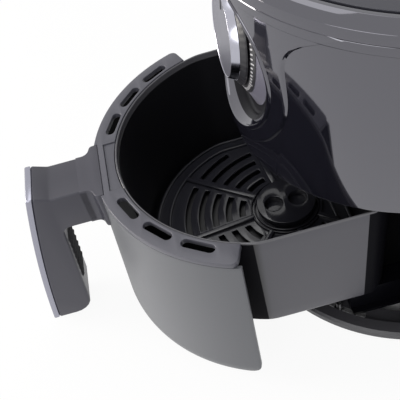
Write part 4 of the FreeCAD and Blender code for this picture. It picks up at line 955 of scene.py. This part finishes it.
def build_scale(size):
    foot = size.cone_rise - size.dish_depth
    top = foot + size.scale_thick
    fallen = foot - size.slope_drop
    ring = spun([(size.scale_inner, foot), (size.scale_inner, top), (size.scale_outer, top)], DIAL)
    slope = spun([(size.scale_outer, top), (size.slope_outer, fallen),
                  (size.slope_outer - size.scale_thick, fallen - size.scale_thick)], DIAL)
    plain, printed = 0, 1
    parts = [painted(ring, plain), painted(slope, plain)]
    lean = math.atan2(top - fallen, size.slope_outer - size.scale_outer)
    for number in range(SCALE_MARKS):
        reach = size.mark_short if number % LONG_MARK_EVERY else size.mark_long
        place = (DIAL @ Matrix.Rotation(FULL_TURN * number / SCALE_MARKS, 4, "Z")
                 @ Matrix.Translation((size.scale_outer, 0, top))
                 @ Matrix.Rotation(lean, 4, "Y") @ Matrix.Translation((reach / 2, 0, 0))
                 @ Matrix.Diagonal((reach, size.mark_width, size.scale_thick, 1)))
        parts.append(painted(cube(place), printed))
    finishes = [dark_plastic(), white_print()]
    piece(joined(*parts), "scale", "housing", finishes, "dial_scale")


def build_knob(size):
    back, shoulder, front = size.knob_back, size.knob_shoulder, size.knob_front
    skirt, waist, rim = size.knob_skirt, size.knob_waist, size.knob_face
    seat = rim - KNOB_LEDGE
    sunk = front - KNOB_SINK
    edge = front - RIM_SINK
    path = bent([(KNOB_BORE, back), (skirt, back, SKIRT_ROUND),
                 (skirt - SKIRT_DRAFT, back + SKIRT_EDGE, SKIRT_SOFT), (waist, shoulder, WAIST_SOFT),
                 (seat, shoulder), (seat, sunk), (KNOB_BORE, sunk)])
    bm = spun(path, Matrix())
    for vert in bm.verts:
        radius = math.hypot(vert.co.x, vert.co.y)
        if back + FLUTE_START < vert.co.z < shoulder - FLUTE_END and radius > waist:
            turn = math.atan2(vert.co.y, vert.co.x)
            scale = 1 + FLUTE_DEPTH / radius * math.cos(KNOB_FLUTES * turn)
            vert.co.x *= scale
            vert.co.y *= scale
    bm.transform(DIAL)
    piece(bm, "knob_grip", "dial", [dark_plastic()], "timer_knob")
    path = bent([(seat, shoulder), (waist, shoulder, WAIST_SOFT),
                 (waist - RING_DRAFT, shoulder + RING_RISE, RING_SOFT), (rim + RING_LIP, front, RING_SOFT),
                 (rim, edge), (rim, sunk), (seat, sunk)])
    piece(spun(path, DIAL), "knob_bright_ring", "dial", [chrome()], "knob_ring")
    path = bent([(0, front - FACE_SINK), (rim - FACE_BORDER, front - BORDER_SINK, BORDER_SOFT), (rim, edge),
                 (rim, front - FACE_BACK)])
    place = (DIAL @ Matrix.Translation((0, rim - POINTER_INSET, front - POINTER_SINK))
             @ Matrix.Diagonal((POINTER_WIDTH, POINTER_LENGTH, POINTER_THICK, 1)))
    plain, dark = 0, 1
    bm = joined(painted(spun(path, DIAL), plain), painted(cube(place), dark))
    piece(bm, "knob_plate", "dial", [brushed_grey(), dark_plastic()], "knob_face")


# Pieces of the drawer

def narrowed(value, limit, soft):
    """A value held under a limit, with a soft turn where it meets the limit."""
    return limit - soft * math.log1p(math.exp((limit - value) / soft))


def pan_point(size, share, inset, level):
    """A point on the pan's outline drawn in by an inset: bowed front, straight sides, round corners."""
    half = size.pan_half - inset
    corner = max(size.pan_corner - inset, size.pan_wall)
    side = size.pan_side
    front = math.pi * half / 2
    bend = math.pi * corner / 2
    back = max(half - corner, 0)
    total = front + side + bend + back
    mirrored = share > 0.5
    walk = (1 - share if mirrored else share) * 2 * total
    if walk <= front:
        turn = walk / half
        x, y = half * math.sin(turn), -half * math.cos(turn)
    elif walk <= front + side:
        x, y = half, walk - front
    elif walk <= front + side + bend:
        turn = (walk - front - side) / corner
        x, y = half - corner + corner * math.cos(turn), side + corner * math.sin(turn)
    else:
        x, y = max(total - walk, 0), side + corner
    x = max(narrowed(x, half - size.pan_flat, size.pan_turn), 0)
    return Vector((-x if mirrored else x, y, level))


def build_pan(size):
    low, high = size.pan_bottom, size.pan_top
    wall, sole = size.pan_wall, size.pan_sole
    floor = low + wall
    lining = PAN_LINING * wall
    foot = high - size.pan_rim - (lining - wall)
    outside, inside, rim, dark = 0, 1, 2, 3
    rings = []

    def ring(inset, level, paint):
        share = (level - low) / (high - low)
        rings.append((size.pan_taper * (1 - share) + inset, level, paint))

    for inset in reversed(PAN_FLOOR_INSETS):
        ring(inset, low, outside)
    for turn in runs(0, (QUARTER_TURN, SOLE_STEPS)):
        ring(sole * (1 - math.sin(turn)), low + sole * (1 - math.cos(turn)), outside)
    for level in runs(low + sole, (high - wall, WALL_STEPS))[1:]:
        ring(0, level, outside)
    for inset, drop in PAN_RIM_PROFILE:
        ring(inset * wall, high - drop * wall, rim)
    ring(wall, high - size.pan_rim, rim)
    for level in runs(foot, (floor + sole, WALL_STEPS)):
        ring(lining, level, inside)
    for turn in runs(0, (QUARTER_TURN, SOLE_STEPS))[1:]:
        ring(lining + sole * (1 - math.cos(turn)), floor + sole * (1 - math.sin(turn)), inside)
    for inset in PAN_FLOOR_INSETS:
        ring(inset, floor, inside)

    def spot(column, row):
        inset, level, paint = rings[row]
        return pan_point(size, column / PAN_STEPS % 1, inset, level)

    bm = woven(PAN_STEPS, len(rings) - 1, spot)
    for number, face in enumerate(bm.faces):
        row, column = divmod(number, PAN_STEPS)
        paint = rings[row + 1][2]
        middle = pan_point(size, (column + 0.5) / PAN_STEPS, 0, low)
        # Faces of the outside near the pan's front and back take the near-black finish: painted shade and
        # painted reflection
        shaded = not -size.painted_shade_front < middle.y < size.painted_shade_back
        face.material_index = dark if shaded and paint == outside else paint
    bm.transform(DRAWER)
    finishes = [pan_outside(), pan_inside(), pan_rim(), pan_shade()]
    piece(bm, "pan_shell", "drawer", finishes, "pan")


def slot_outline(size, turn):
    """A straight slot with round ends, set square to the flange's radius."""
    radius = BODY_RADIUS - size.slot_inset
    round_end = size.slot_width / 2
    run = size.slot_length / 2 - round_end
    cosine, sine = math.cos(turn), math.sin(turn)
    points = []
    for way in (1, -1):
        for bend in runs(-QUARTER_TURN, (QUARTER_TURN, SLOT_END_STEPS)):
            along = way * (run + round_end * math.cos(bend))
            off = way * round_end * math.sin(bend) - radius
            points.append((along * cosine - off * sine, along * sine + off * cosine))
    return points


def flange_end(size, way):
    """The rounded outer corner at one end of the flange, in the order of growing angle."""
    corner = size.flange_corner
    turn = size.flange_half - corner / (BODY_RADIUS - corner)
    points = []
    for swing in runs(0, (QUARTER_TURN, CORNER_STEPS)):
        along = corner * math.sin(swing)
        reach = BODY_RADIUS - corner + corner * math.cos(swing)
        points.append((way * (reach * math.sin(turn) + along * math.cos(turn)),
                       -reach * math.cos(turn) + along * math.sin(turn)))
    return points if way > 0 else points[::-1]


def build_flange(size):
    half = size.flange_half
    inner = size.pan_half + size.seam
    notch = size.root_half + size.seam
    notch_turn = math.asin(notch / BODY_RADIUS)
    last = half - 2 * size.flange_corner / BODY_RADIUS
    cover, far = size.cover_half, size.cover_far
    cover_turn = math.asin(cover / inner)
    face = size.root_face - size.seam
    path = flange_end(size, -1) + arc(BODY_RADIUS, -last, -notch_turn, FLANGE_STEPS)
    path += [(-notch, -face), (notch, -face)]
    path += arc(BODY_RADIUS, notch_turn, last, FLANGE_STEPS) + flange_end(size, 1)
    path += arc(inner, half, cover_turn, FLANGE_STEPS)
    path += [(cover, -far), (-cover, -far)]
    path += arc(inner, -cover_turn, -half, FLANGE_STEPS)
    holes = []
    for way in (-1, 1):
        for number in range(SLOTS_PER_SIDE):
            holes.append(slot_outline(size, way * (size.slot_first + number * size.slot_step)))
    thick = size.flange_thick
    bm = plate([path, *holes], size.flange_top - thick, thick, size.flange_soft, DRAWER)
    piece(bm, "flange", "drawer", [satin_grey()], "drawer_flange")
    inset = size.seam
    end = cover_turn - inset / inner
    path = [(inset - cover, inset - far), (cover - inset, inset - far)]
    path += arc(inner + inset, end, -end, COVER_STEPS)
    thick -= 2 * size.cover_drop
    bm = plate([path], size.flange_top - size.cover_drop - thick, thick, inset, DRAWER)
    piece(bm, "flange_cover", "drawer", [satin_grey()], "screw_cover")


def build_front(size):
    top = size.flange_top - size.flange_thick - PANEL_GAP
    bottom, corner = size.panel_bottom, size.panel_corner
    notch_low = size.flange_top - size.arm_depth - PANEL_GAP
    notch = math.asin((size.root_half + PANEL_GAP) / BODY_RADIUS) / size.panel_half
    columns = runs(-1, (-notch, PANEL_SIDE_STEPS), (notch, PANEL_NOTCH_STEPS), (1, PANEL_SIDE_STEPS))
    levels = runs(top, (notch_low, PANEL_TOP_STEPS), (bottom + corner, PANEL_FALL_STEPS))
    for turn in runs(0, (QUARTER_TURN, PANEL_CORNER_STEPS))[1:]:
        levels.append(bottom + corner * (1 - math.sin(turn)))

    def spot(column, row):
        level = levels[row]
        share = (top - level) / (top - bottom)
        curl = max(bottom + size.panel_curl - level, 0) / size.panel_curl
        radius = BODY_RADIUS + size.panel_flare * share - size.panel_tuck * curl ** 2
        drop = max(bottom + corner - level, 0)
        lost = corner - math.sqrt(max(corner ** 2 - drop ** 2, 0))
        turn = columns[column] * (size.panel_half - lost / radius)
        return Vector((radius * math.sin(turn), DRAWER_Y - radius * math.cos(turn), level))

    bm = woven(len(columns) - 1, len(levels) - 1, spot)
    middles = [(face, face.calc_center_median()) for face in bm.faces]
    cut = [face for face, at in middles if abs(at.x) < size.root_half and at.z > notch_low]
    bmesh.ops.delete(bm, geom=cut, context="FACES")
    # The panel's inner side takes the near-black finish: painted shade
    finishes = [panel_grey(), pan_shade()]
    item = piece(bm, "front_panel", "drawer", finishes, "drawer_front")
    wall = item.modifiers.new("wall", "SOLIDIFY")
    wall.thickness = size.panel_wall
    wall.offset = -1
    wall.material_offset = 1
    soft = item.modifiers.new("soft_edges", "BEVEL")
    soft.width = PANEL_SOFT
    soft.segments = BEVEL_STEPS
    soft.limit_method = "ANGLE"
    soft.angle_limit = BLUNT_ANGLE


def grip_face(size, share, lift=0.0):
    """A point on the grip's outer face, a share of the way down."""
    level = (size.flange_top + size.lip_rise) * (1 - share) + size.grip_tip * share
    reach = size.grip_reach + size.grip_lean * share + 4 * size.grip_bow * share * (1 - share) + lift
    return (-reach, level)


def build_handle(size):
    outer = [grip_face(size, share) for share in runs(0, (1, GRIP_STEPS))]
    under = size.flange_top - size.arm_depth
    inner_tip = size.grip_inner + size.grip_swell
    start = size.root_face + size.root_depth / 2
    path = bent([(-start, size.flange_top), (-size.crease, size.flange_top, size.crease_round),
                 *outer, (-inner_tip, size.grip_tip, size.tip_round),
                 (-size.grip_inner, under, size.arm_round), (-start, under)], closed=True)
    arm = softened(prism(path, size.arm_half, DRAWER), size.handle_soft)
    step = size.root_step
    far = size.root_face + step
    waist, wide = size.arm_half, size.root_half
    path = bent([(-wide, -size.root_face), (-wide, -far, step / 2), (-waist, -far - step / 2, step),
                 (-waist, -far - 2 * step), (waist, -far - 2 * step), (waist, -far - step / 2, step),
                 (wide, -far, step / 2), (wide, -size.root_face)], closed=True)
    root = plate([path], under - size.lap, size.arm_depth + 2 * size.lap, size.flange_soft, DRAWER)
    piece(joined(arm, root), "handle", "drawer", [handle_grey()], "handle_shell")
    lifted = [grip_face(size, share, size.trim_thick) for share in runs(1, (0, GRIP_STEPS))]
    inside = [(reach + WELD, level) for reach, level in outer]
    trim = softened(prism([*inside, *lifted], size.arm_half, DRAWER), size.trim_soft)
    piece(trim, "handle_bright_strip", "drawer", [soft_chrome()], "handle_trim")


def build_grip_strip(size):
    """The ribbed strip on the finger side of the grip."""
    under = size.flange_top - size.arm_depth
    waves, back = [], []
    for share in runs(0, (1, RIB_STEPS * size.strip_ribs)):
        level = size.strip_top - size.strip_length * share
        skin = -size.grip_inner - size.grip_swell * (under - level) / (under - size.grip_tip)
        swell = size.strip_thick * (1 - math.cos(FULL_TURN * size.strip_ribs * share)) / 2
        waves.append((skin + swell + size.seam, level))
        back.append((skin - size.strip_thick, level))
    bm = prism([*waves, *reversed(back)], size.strip_half, DRAWER)
    piece(bm, "ribbed_strip", "drawer", [rubber()], "grip_strip")


def tray_field(size, inset):
    """The tray's outline drawn in by an inset, as a path."""
    edge = size.pan_half - size.tray_half + inset
    return [pan_point(size, step / TRAY_STEPS, edge, 0)[:2] for step in range(TRAY_STEPS)]


def in_tray(size, radius, turn, inset):
    """Whether a point round the hub lies inside the tray's outline less an inset."""
    half = size.tray_half - inset
    corner = max(size.pan_corner - size.pan_half + half, size.pan_wall)
    x = abs(radius * math.sin(turn))
    y = HUB_OFFSET - radius * math.cos(turn)
    if x > half - size.pan_flat or y > size.pan_side + corner or (y < 0 and math.hypot(x, y) > half):
        return False
    past = Vector((x - half + corner, y - size.pan_side))
    return past.x < 0 or past.y < 0 or past.length < corner


def tray_gaps(size):
    """Outlines of the curved openings between the spokes, kept inside the tray's frame."""
    gaps = []
    inset = size.field_inset + size.gap_margin
    for sector in range(SPOKES):
        middle = size.tray_turn + FULL_TURN * (sector + 0.5) / SPOKES
        for row in range(size.gap_rows):
            near = size.gap_first + row * size.gap_pitch
            far = near + size.gap_width
            half = math.pi / SPOKES - math.asin((size.spoke_width / 2 + size.gap_margin) / near)
            turns = runs(middle - half, (middle + half, GAP_SAMPLES))
            turns = [turn for turn in turns if in_tray(size, far, turn, inset)]
            if turns and far * (turns[-1] - turns[0]) > 2 * size.gap_width:
                path = arc(near, turns[0], turns[-1], GAP_STEPS) + arc(far, turns[-1], turns[0], GAP_STEPS)
                gaps.append([(x, y + HUB_OFFSET) for x, y in path])
    return gaps


def build_tray(size):
    level, thick, soft = size.tray_level, size.tray_thick, size.tray_soft
    top = level + thick

    def ridge(outlines, place):
        return plate(outlines, top - soft, size.spoke_rise + soft, soft, place)

    edge = tray_field(size, 0)
    parts = [plate([edge, *tray_gaps(size)], level, thick, soft / 2, DRAWER),
             plate([edge, tray_field(size, size.rim_width)], level + WELD, size.tray_rise, soft, DRAWER)]
    field = size.field_inset
    parts.append(ridge([tray_field(size, field - size.rim_width), tray_field(size, field)], DRAWER))
    near = size.hub_ring - thick
    wide = size.spoke_width / 2
    for number in range(SPOKES):
        turn = size.tray_turn + FULL_TURN * number / SPOKES
        far = near
        while in_tray(size, far, turn, field - soft):
            far += MM
        path = [(near, -wide), (far, -wide), (far, wide), (near, wide)]
        parts.append(ridge([path], HUB @ Matrix.Rotation(turn - QUARTER_TURN, 4, "Z")))
    inner = size.puck_radius + 2 * soft
    middle = (inner + size.hub_ring) / 2
    for outside, inside in ((size.hub_ring, middle + soft), (middle - soft, inner)):
        parts.append(ridge([circle(outside, RING_STEPS), circle(inside, RING_STEPS)], HUB))
    piece(joined(*parts), "tray", "tray", [tray_enamel()], "crisper_tray")
    holes = [circle(size.finger_radius, HOLE_STEPS, (0, way * size.finger_place)) for way in (-1, 1)]
    rim = circle(size.puck_radius, RING_STEPS)
    sole = size.finger_floor
    body = plate([rim, *holes], top + sole, size.puck_height - sole, size.puck_soft, HUB)
    floor = plate([rim], top, sole + soft, soft / 2, HUB)
    piece(joined(body, floor), "puck", "tray", [tray_enamel()], "tray_puck")


def build_bumpers(size):
    """The four soft stubs that seat the tray in the pan."""
    half = size.tray_half
    side = half - size.pan_flat
    back = size.pan_side + size.pan_corner - size.pan_half + half
    stubs = []
    for place in ((0, -half), (-side, size.pan_side / 2), (side, size.pan_side / 2), (0, back)):
        outline = circle(size.bumper_radius, STUB_STEPS, place)
        stubs.append(plate([outline], size.tray_level, size.tray_rise, size.tray_soft / 2, DRAWER))
    piece(joined(*stubs), "soft_bumpers", "tray", [rubber()], "tray_bumpers")


# Materials of the CAD nodes that stay

NODE_FINISHES = (
    (base_grey, ("base_plate",)),
    (gloss_black, ("lower_housing",)),
    # The bay and its runners take the near-black finish: painted shade inside the bay
    (dish_black, ("drawer_bay", "drawer_runners")),
    (dark_plastic, ("exhaust_grille", "interlock_switch")),
    (rubber, ("rubber_feet", "cord_gland")),
    (pale_plastic, ("cooling_fan", "terminal_block", "timer_unit", "switch_plunger")),
    (heater_steel, ("heater_element",)),
    (steel, ("chamber_liner", "heat_shield", "heater_guard", "motor_bracket", "switch_bracket", "motor",
             "base_screws", "handle_screws", "thermal_cutout", "motor_shaft", "timer_spindle",
             "convection_fan")),
)


def dress_nodes():
    for make, nodes in NODE_FINISHES:
        for node in nodes:
            mesh = frame["nodes"][node].data
            mesh.materials.clear()
            mesh.materials.append(make())


# Stage

def outside_round(tree, share):
    """A share of the floor outside the housing's round, and nothing under the housing."""
    place = tree.nodes.new("ShaderNodeTexCoord").outputs["Object"]
    apart = added(tree, "ShaderNodeVectorMath", {0: place, 1: (0, AXIS_Y, 0)}, operation="DISTANCE")
    feeds = {"Value": apart.outputs["Value"], "From Min": SHADED_SHARE * BODY_RADIUS,
             "From Max": BODY_RADIUS, "To Max": share}
    return added(tree, "ShaderNodeMapRange", feeds).outputs["Result"]


def seen_or(tree, plain, seen, share):
    """Mix two shaders, with the second one taking a share of what the camera and mirrors see."""
    rays = tree.nodes.new("ShaderNodeLightPath").outputs

    def math_of(operation, first, second):
        return added(tree, "ShaderNodeMath", {0: first, 1: second}, operation=operation).outputs[0]

    glossy = math_of("MAXIMUM", rays["Is Camera Ray"], rays["Is Glossy Ray"])
    clear = math_of("MAXIMUM", glossy, rays["Is Transmission Ray"])
    feeds = {"Fac": math_of("MULTIPLY", clear, share), 1: plain, 2: seen}
    return added(tree, "ShaderNodeMixShader", feeds).outputs[0]


def set_world(stage):
    world = bpy.data.worlds.new("white_room")
    bpy.context.scene.world = world
    world.use_nodes = True
    tree = world.node_tree
    plain = tree.nodes["Background"]
    plain.inputs["Color"].default_value = WHITE
    plain.inputs["Strength"].default_value = stage.sky
    white = added(tree, "ShaderNodeBackground", {"Color": WHITE, "Strength": 1.0})
    out = seen_or(tree, plain.outputs[0], white.outputs[0], 1.0)
    tree.links.new(out, tree.nodes["World Output"].inputs["Surface"])


def set_floor(stage):
    bm = bmesh.new()
    bmesh.ops.create_circle(bm, cap_ends=True, segments=FLOOR_STEPS, radius=FLOOR_RADIUS)
    floor = object_from(bm, "floor")
    material = bpy.data.materials.new("floor_white")
    material.use_nodes = True
    tree = material.node_tree
    shader = tree.nodes["Principled BSDF"]
    shader.inputs["Base Color"].default_value = (*stage.floor, 1.0)
    shader.inputs["Roughness"].default_value = FLOOR_ROUGHNESS
    shader.inputs["Specular IOR Level"].default_value = FLOOR_SPECULAR
    white = added(tree, "ShaderNodeEmission", {"Color": WHITE, "Strength": 1.0})
    out = seen_or(tree, shader.outputs[0], white.outputs[0], outside_round(tree, FLOOR_WHITE_SHARE))
    tree.links.new(out, tree.nodes["Material Output"].inputs["Surface"])
    floor.data.materials.append(material)


def add_lamp(name, power, width, place):
    light = bpy.data.lights.new(name, "AREA")
    light.shape = "DISK"
    light.size = width
    light.energy = power
    lamp = bpy.data.objects.new(name, light)
    lamp.location = place
    lamp.rotation_euler = (Vector(LAMP_AIM) - lamp.location).to_track_quat("-Z", "Y").to_euler()
    bpy.context.scene.collection.objects.link(lamp)
    return light


def set_camera(stage):
    turn, rise, roll = stage.azimuth, stage.elevation, stage.roll
    back = Vector((math.sin(turn) * math.cos(rise), -math.cos(turn) * math.cos(rise), math.sin(rise)))
    right = Vector((math.cos(turn), math.sin(turn), 0))
    up = back.cross(right)
    turned = right * math.cos(roll) + up * math.sin(roll)
    upright = up * math.cos(roll) - right * math.sin(roll)
    data = bpy.data.cameras.new("camera")
    data.lens = stage.lens
    data.sensor_width = SENSOR_WIDTH
    data.clip_start = CLIP_START
    camera = bpy.data.objects.new("camera", data)
    place = Matrix((turned, upright, back)).transposed().to_4x4()
    place.translation = (stage.camera_x, stage.camera_y, stage.camera_z)
    camera.matrix_world = place
    bpy.context.scene.collection.objects.link(camera)
    bpy.context.scene.camera = camera


# Operators

class FRYER_OT_head(bpy.types.Operator):
    """Build the upper housing, its hood and the top panel"""
    bl_idname = "fryer.head"
    bl_label = "Head"

    def execute(self, context):
        size = context.scene.fryer_head
        build_head_shell(size)
        build_hood(size)
        return {"FINISHED"}


class FRYER_OT_dial(bpy.types.Operator):
    """Build the collar, the dish, the scale and the knob"""
    bl_idname = "fryer.dial"
    bl_label = "Dial"

    def execute(self, context):
        size = context.scene.fryer_head
        build_collar(size)
        build_dish(size)
        build_scale(size)
        build_knob(size)
        return {"FINISHED"}


class FRYER_OT_pan(bpy.types.Operator):
    """Build the pan with its flange and front panel"""
    bl_idname = "fryer.pan"
    bl_label = "Pan"

    def execute(self, context):
        size = context.scene.fryer_drawer
        build_pan(size)
        build_flange(size)
        build_front(size)
        return {"FINISHED"}


class FRYER_OT_handle(bpy.types.Operator):
    """Build the handle with its bright strip and its ribbed strip"""
    bl_idname = "fryer.handle"
    bl_label = "Handle"

    def execute(self, context):
        size = context.scene.fryer_drawer
        build_handle(size)
        build_grip_strip(size)
        return {"FINISHED"}


class FRYER_OT_tray(bpy.types.Operator):
    """Build the crisper tray, its lifting puck and its soft stubs"""
    bl_idname = "fryer.tray"
    bl_label = "Tray"

    def execute(self, context):
        size = context.scene.fryer_drawer
        build_tray(size)
        build_bumpers(size)
        return {"FINISHED"}


class FRYER_OT_nodes(bpy.types.Operator):
    """Give the remaining CAD pieces their finishes"""
    bl_idname = "fryer.nodes"
    bl_label = "Inner pieces"

    def execute(self, context):
        dress_nodes()
        return {"FINISHED"}


class FRYER_OT_stage(bpy.types.Operator):
    """Set up the white floor, the light and the camera"""
    bl_idname = "fryer.stage"
    bl_label = "Stage"

    def execute(self, context):
        stage = context.scene.fryer_stage
        set_world(stage)
        set_floor(stage)
        lights = {name: add_lamp(name, getattr(stage, name), width, place) for name, width, place in LAMPS}
        lights["front"].color = stage.front_tint
        set_camera(stage)
        context.scene.view_settings.view_transform = "Standard"
        return {"FINISHED"}


class FRYER_PT_panel(bpy.types.Panel):
    """Steps that dress the air fryer"""
    bl_idname = "FRYER_PT_panel"
    bl_label = "Air fryer"
    bl_space_type = "VIEW_3D"
    bl_region_type = "UI"
    bl_category = "Air fryer"

    def draw(self, context):
        for step in STEPS:
            self.layout.operator(step.bl_idname)


SIZES = (FryerHeadSizes, FryerDrawerSizes, FryerStage)
STEPS = (FRYER_OT_head, FRYER_OT_dial, FRYER_OT_pan, FRYER_OT_handle, FRYER_OT_tray, FRYER_OT_nodes,
         FRYER_OT_stage)


def register():
    for group in (*SIZES, *STEPS, FRYER_PT_panel):
        bpy.utils.register_class(group)
    bpy.types.Scene.fryer_head = bpy.props.PointerProperty(type=FryerHeadSizes)
    bpy.types.Scene.fryer_drawer = bpy.props.PointerProperty(type=FryerDrawerSizes)
    bpy.types.Scene.fryer_stage = bpy.props.PointerProperty(type=FryerStage)


def unregister():
    del bpy.types.Scene.fryer_stage
    del bpy.types.Scene.fryer_drawer
    del bpy.types.Scene.fryer_head
    for group in reversed((*SIZES, *STEPS, FRYER_PT_panel)):
        bpy.utils.unregister_class(group)


def main():
    register()
    bpy.ops.fryer.head()
    bpy.ops.fryer.dial()
    bpy.ops.fryer.pan()
    bpy.ops.fryer.handle()
    bpy.ops.fryer.tray()
    bpy.ops.fryer.nodes()
    bpy.ops.fryer.stage()


if __name__ == "__main__":
    main()
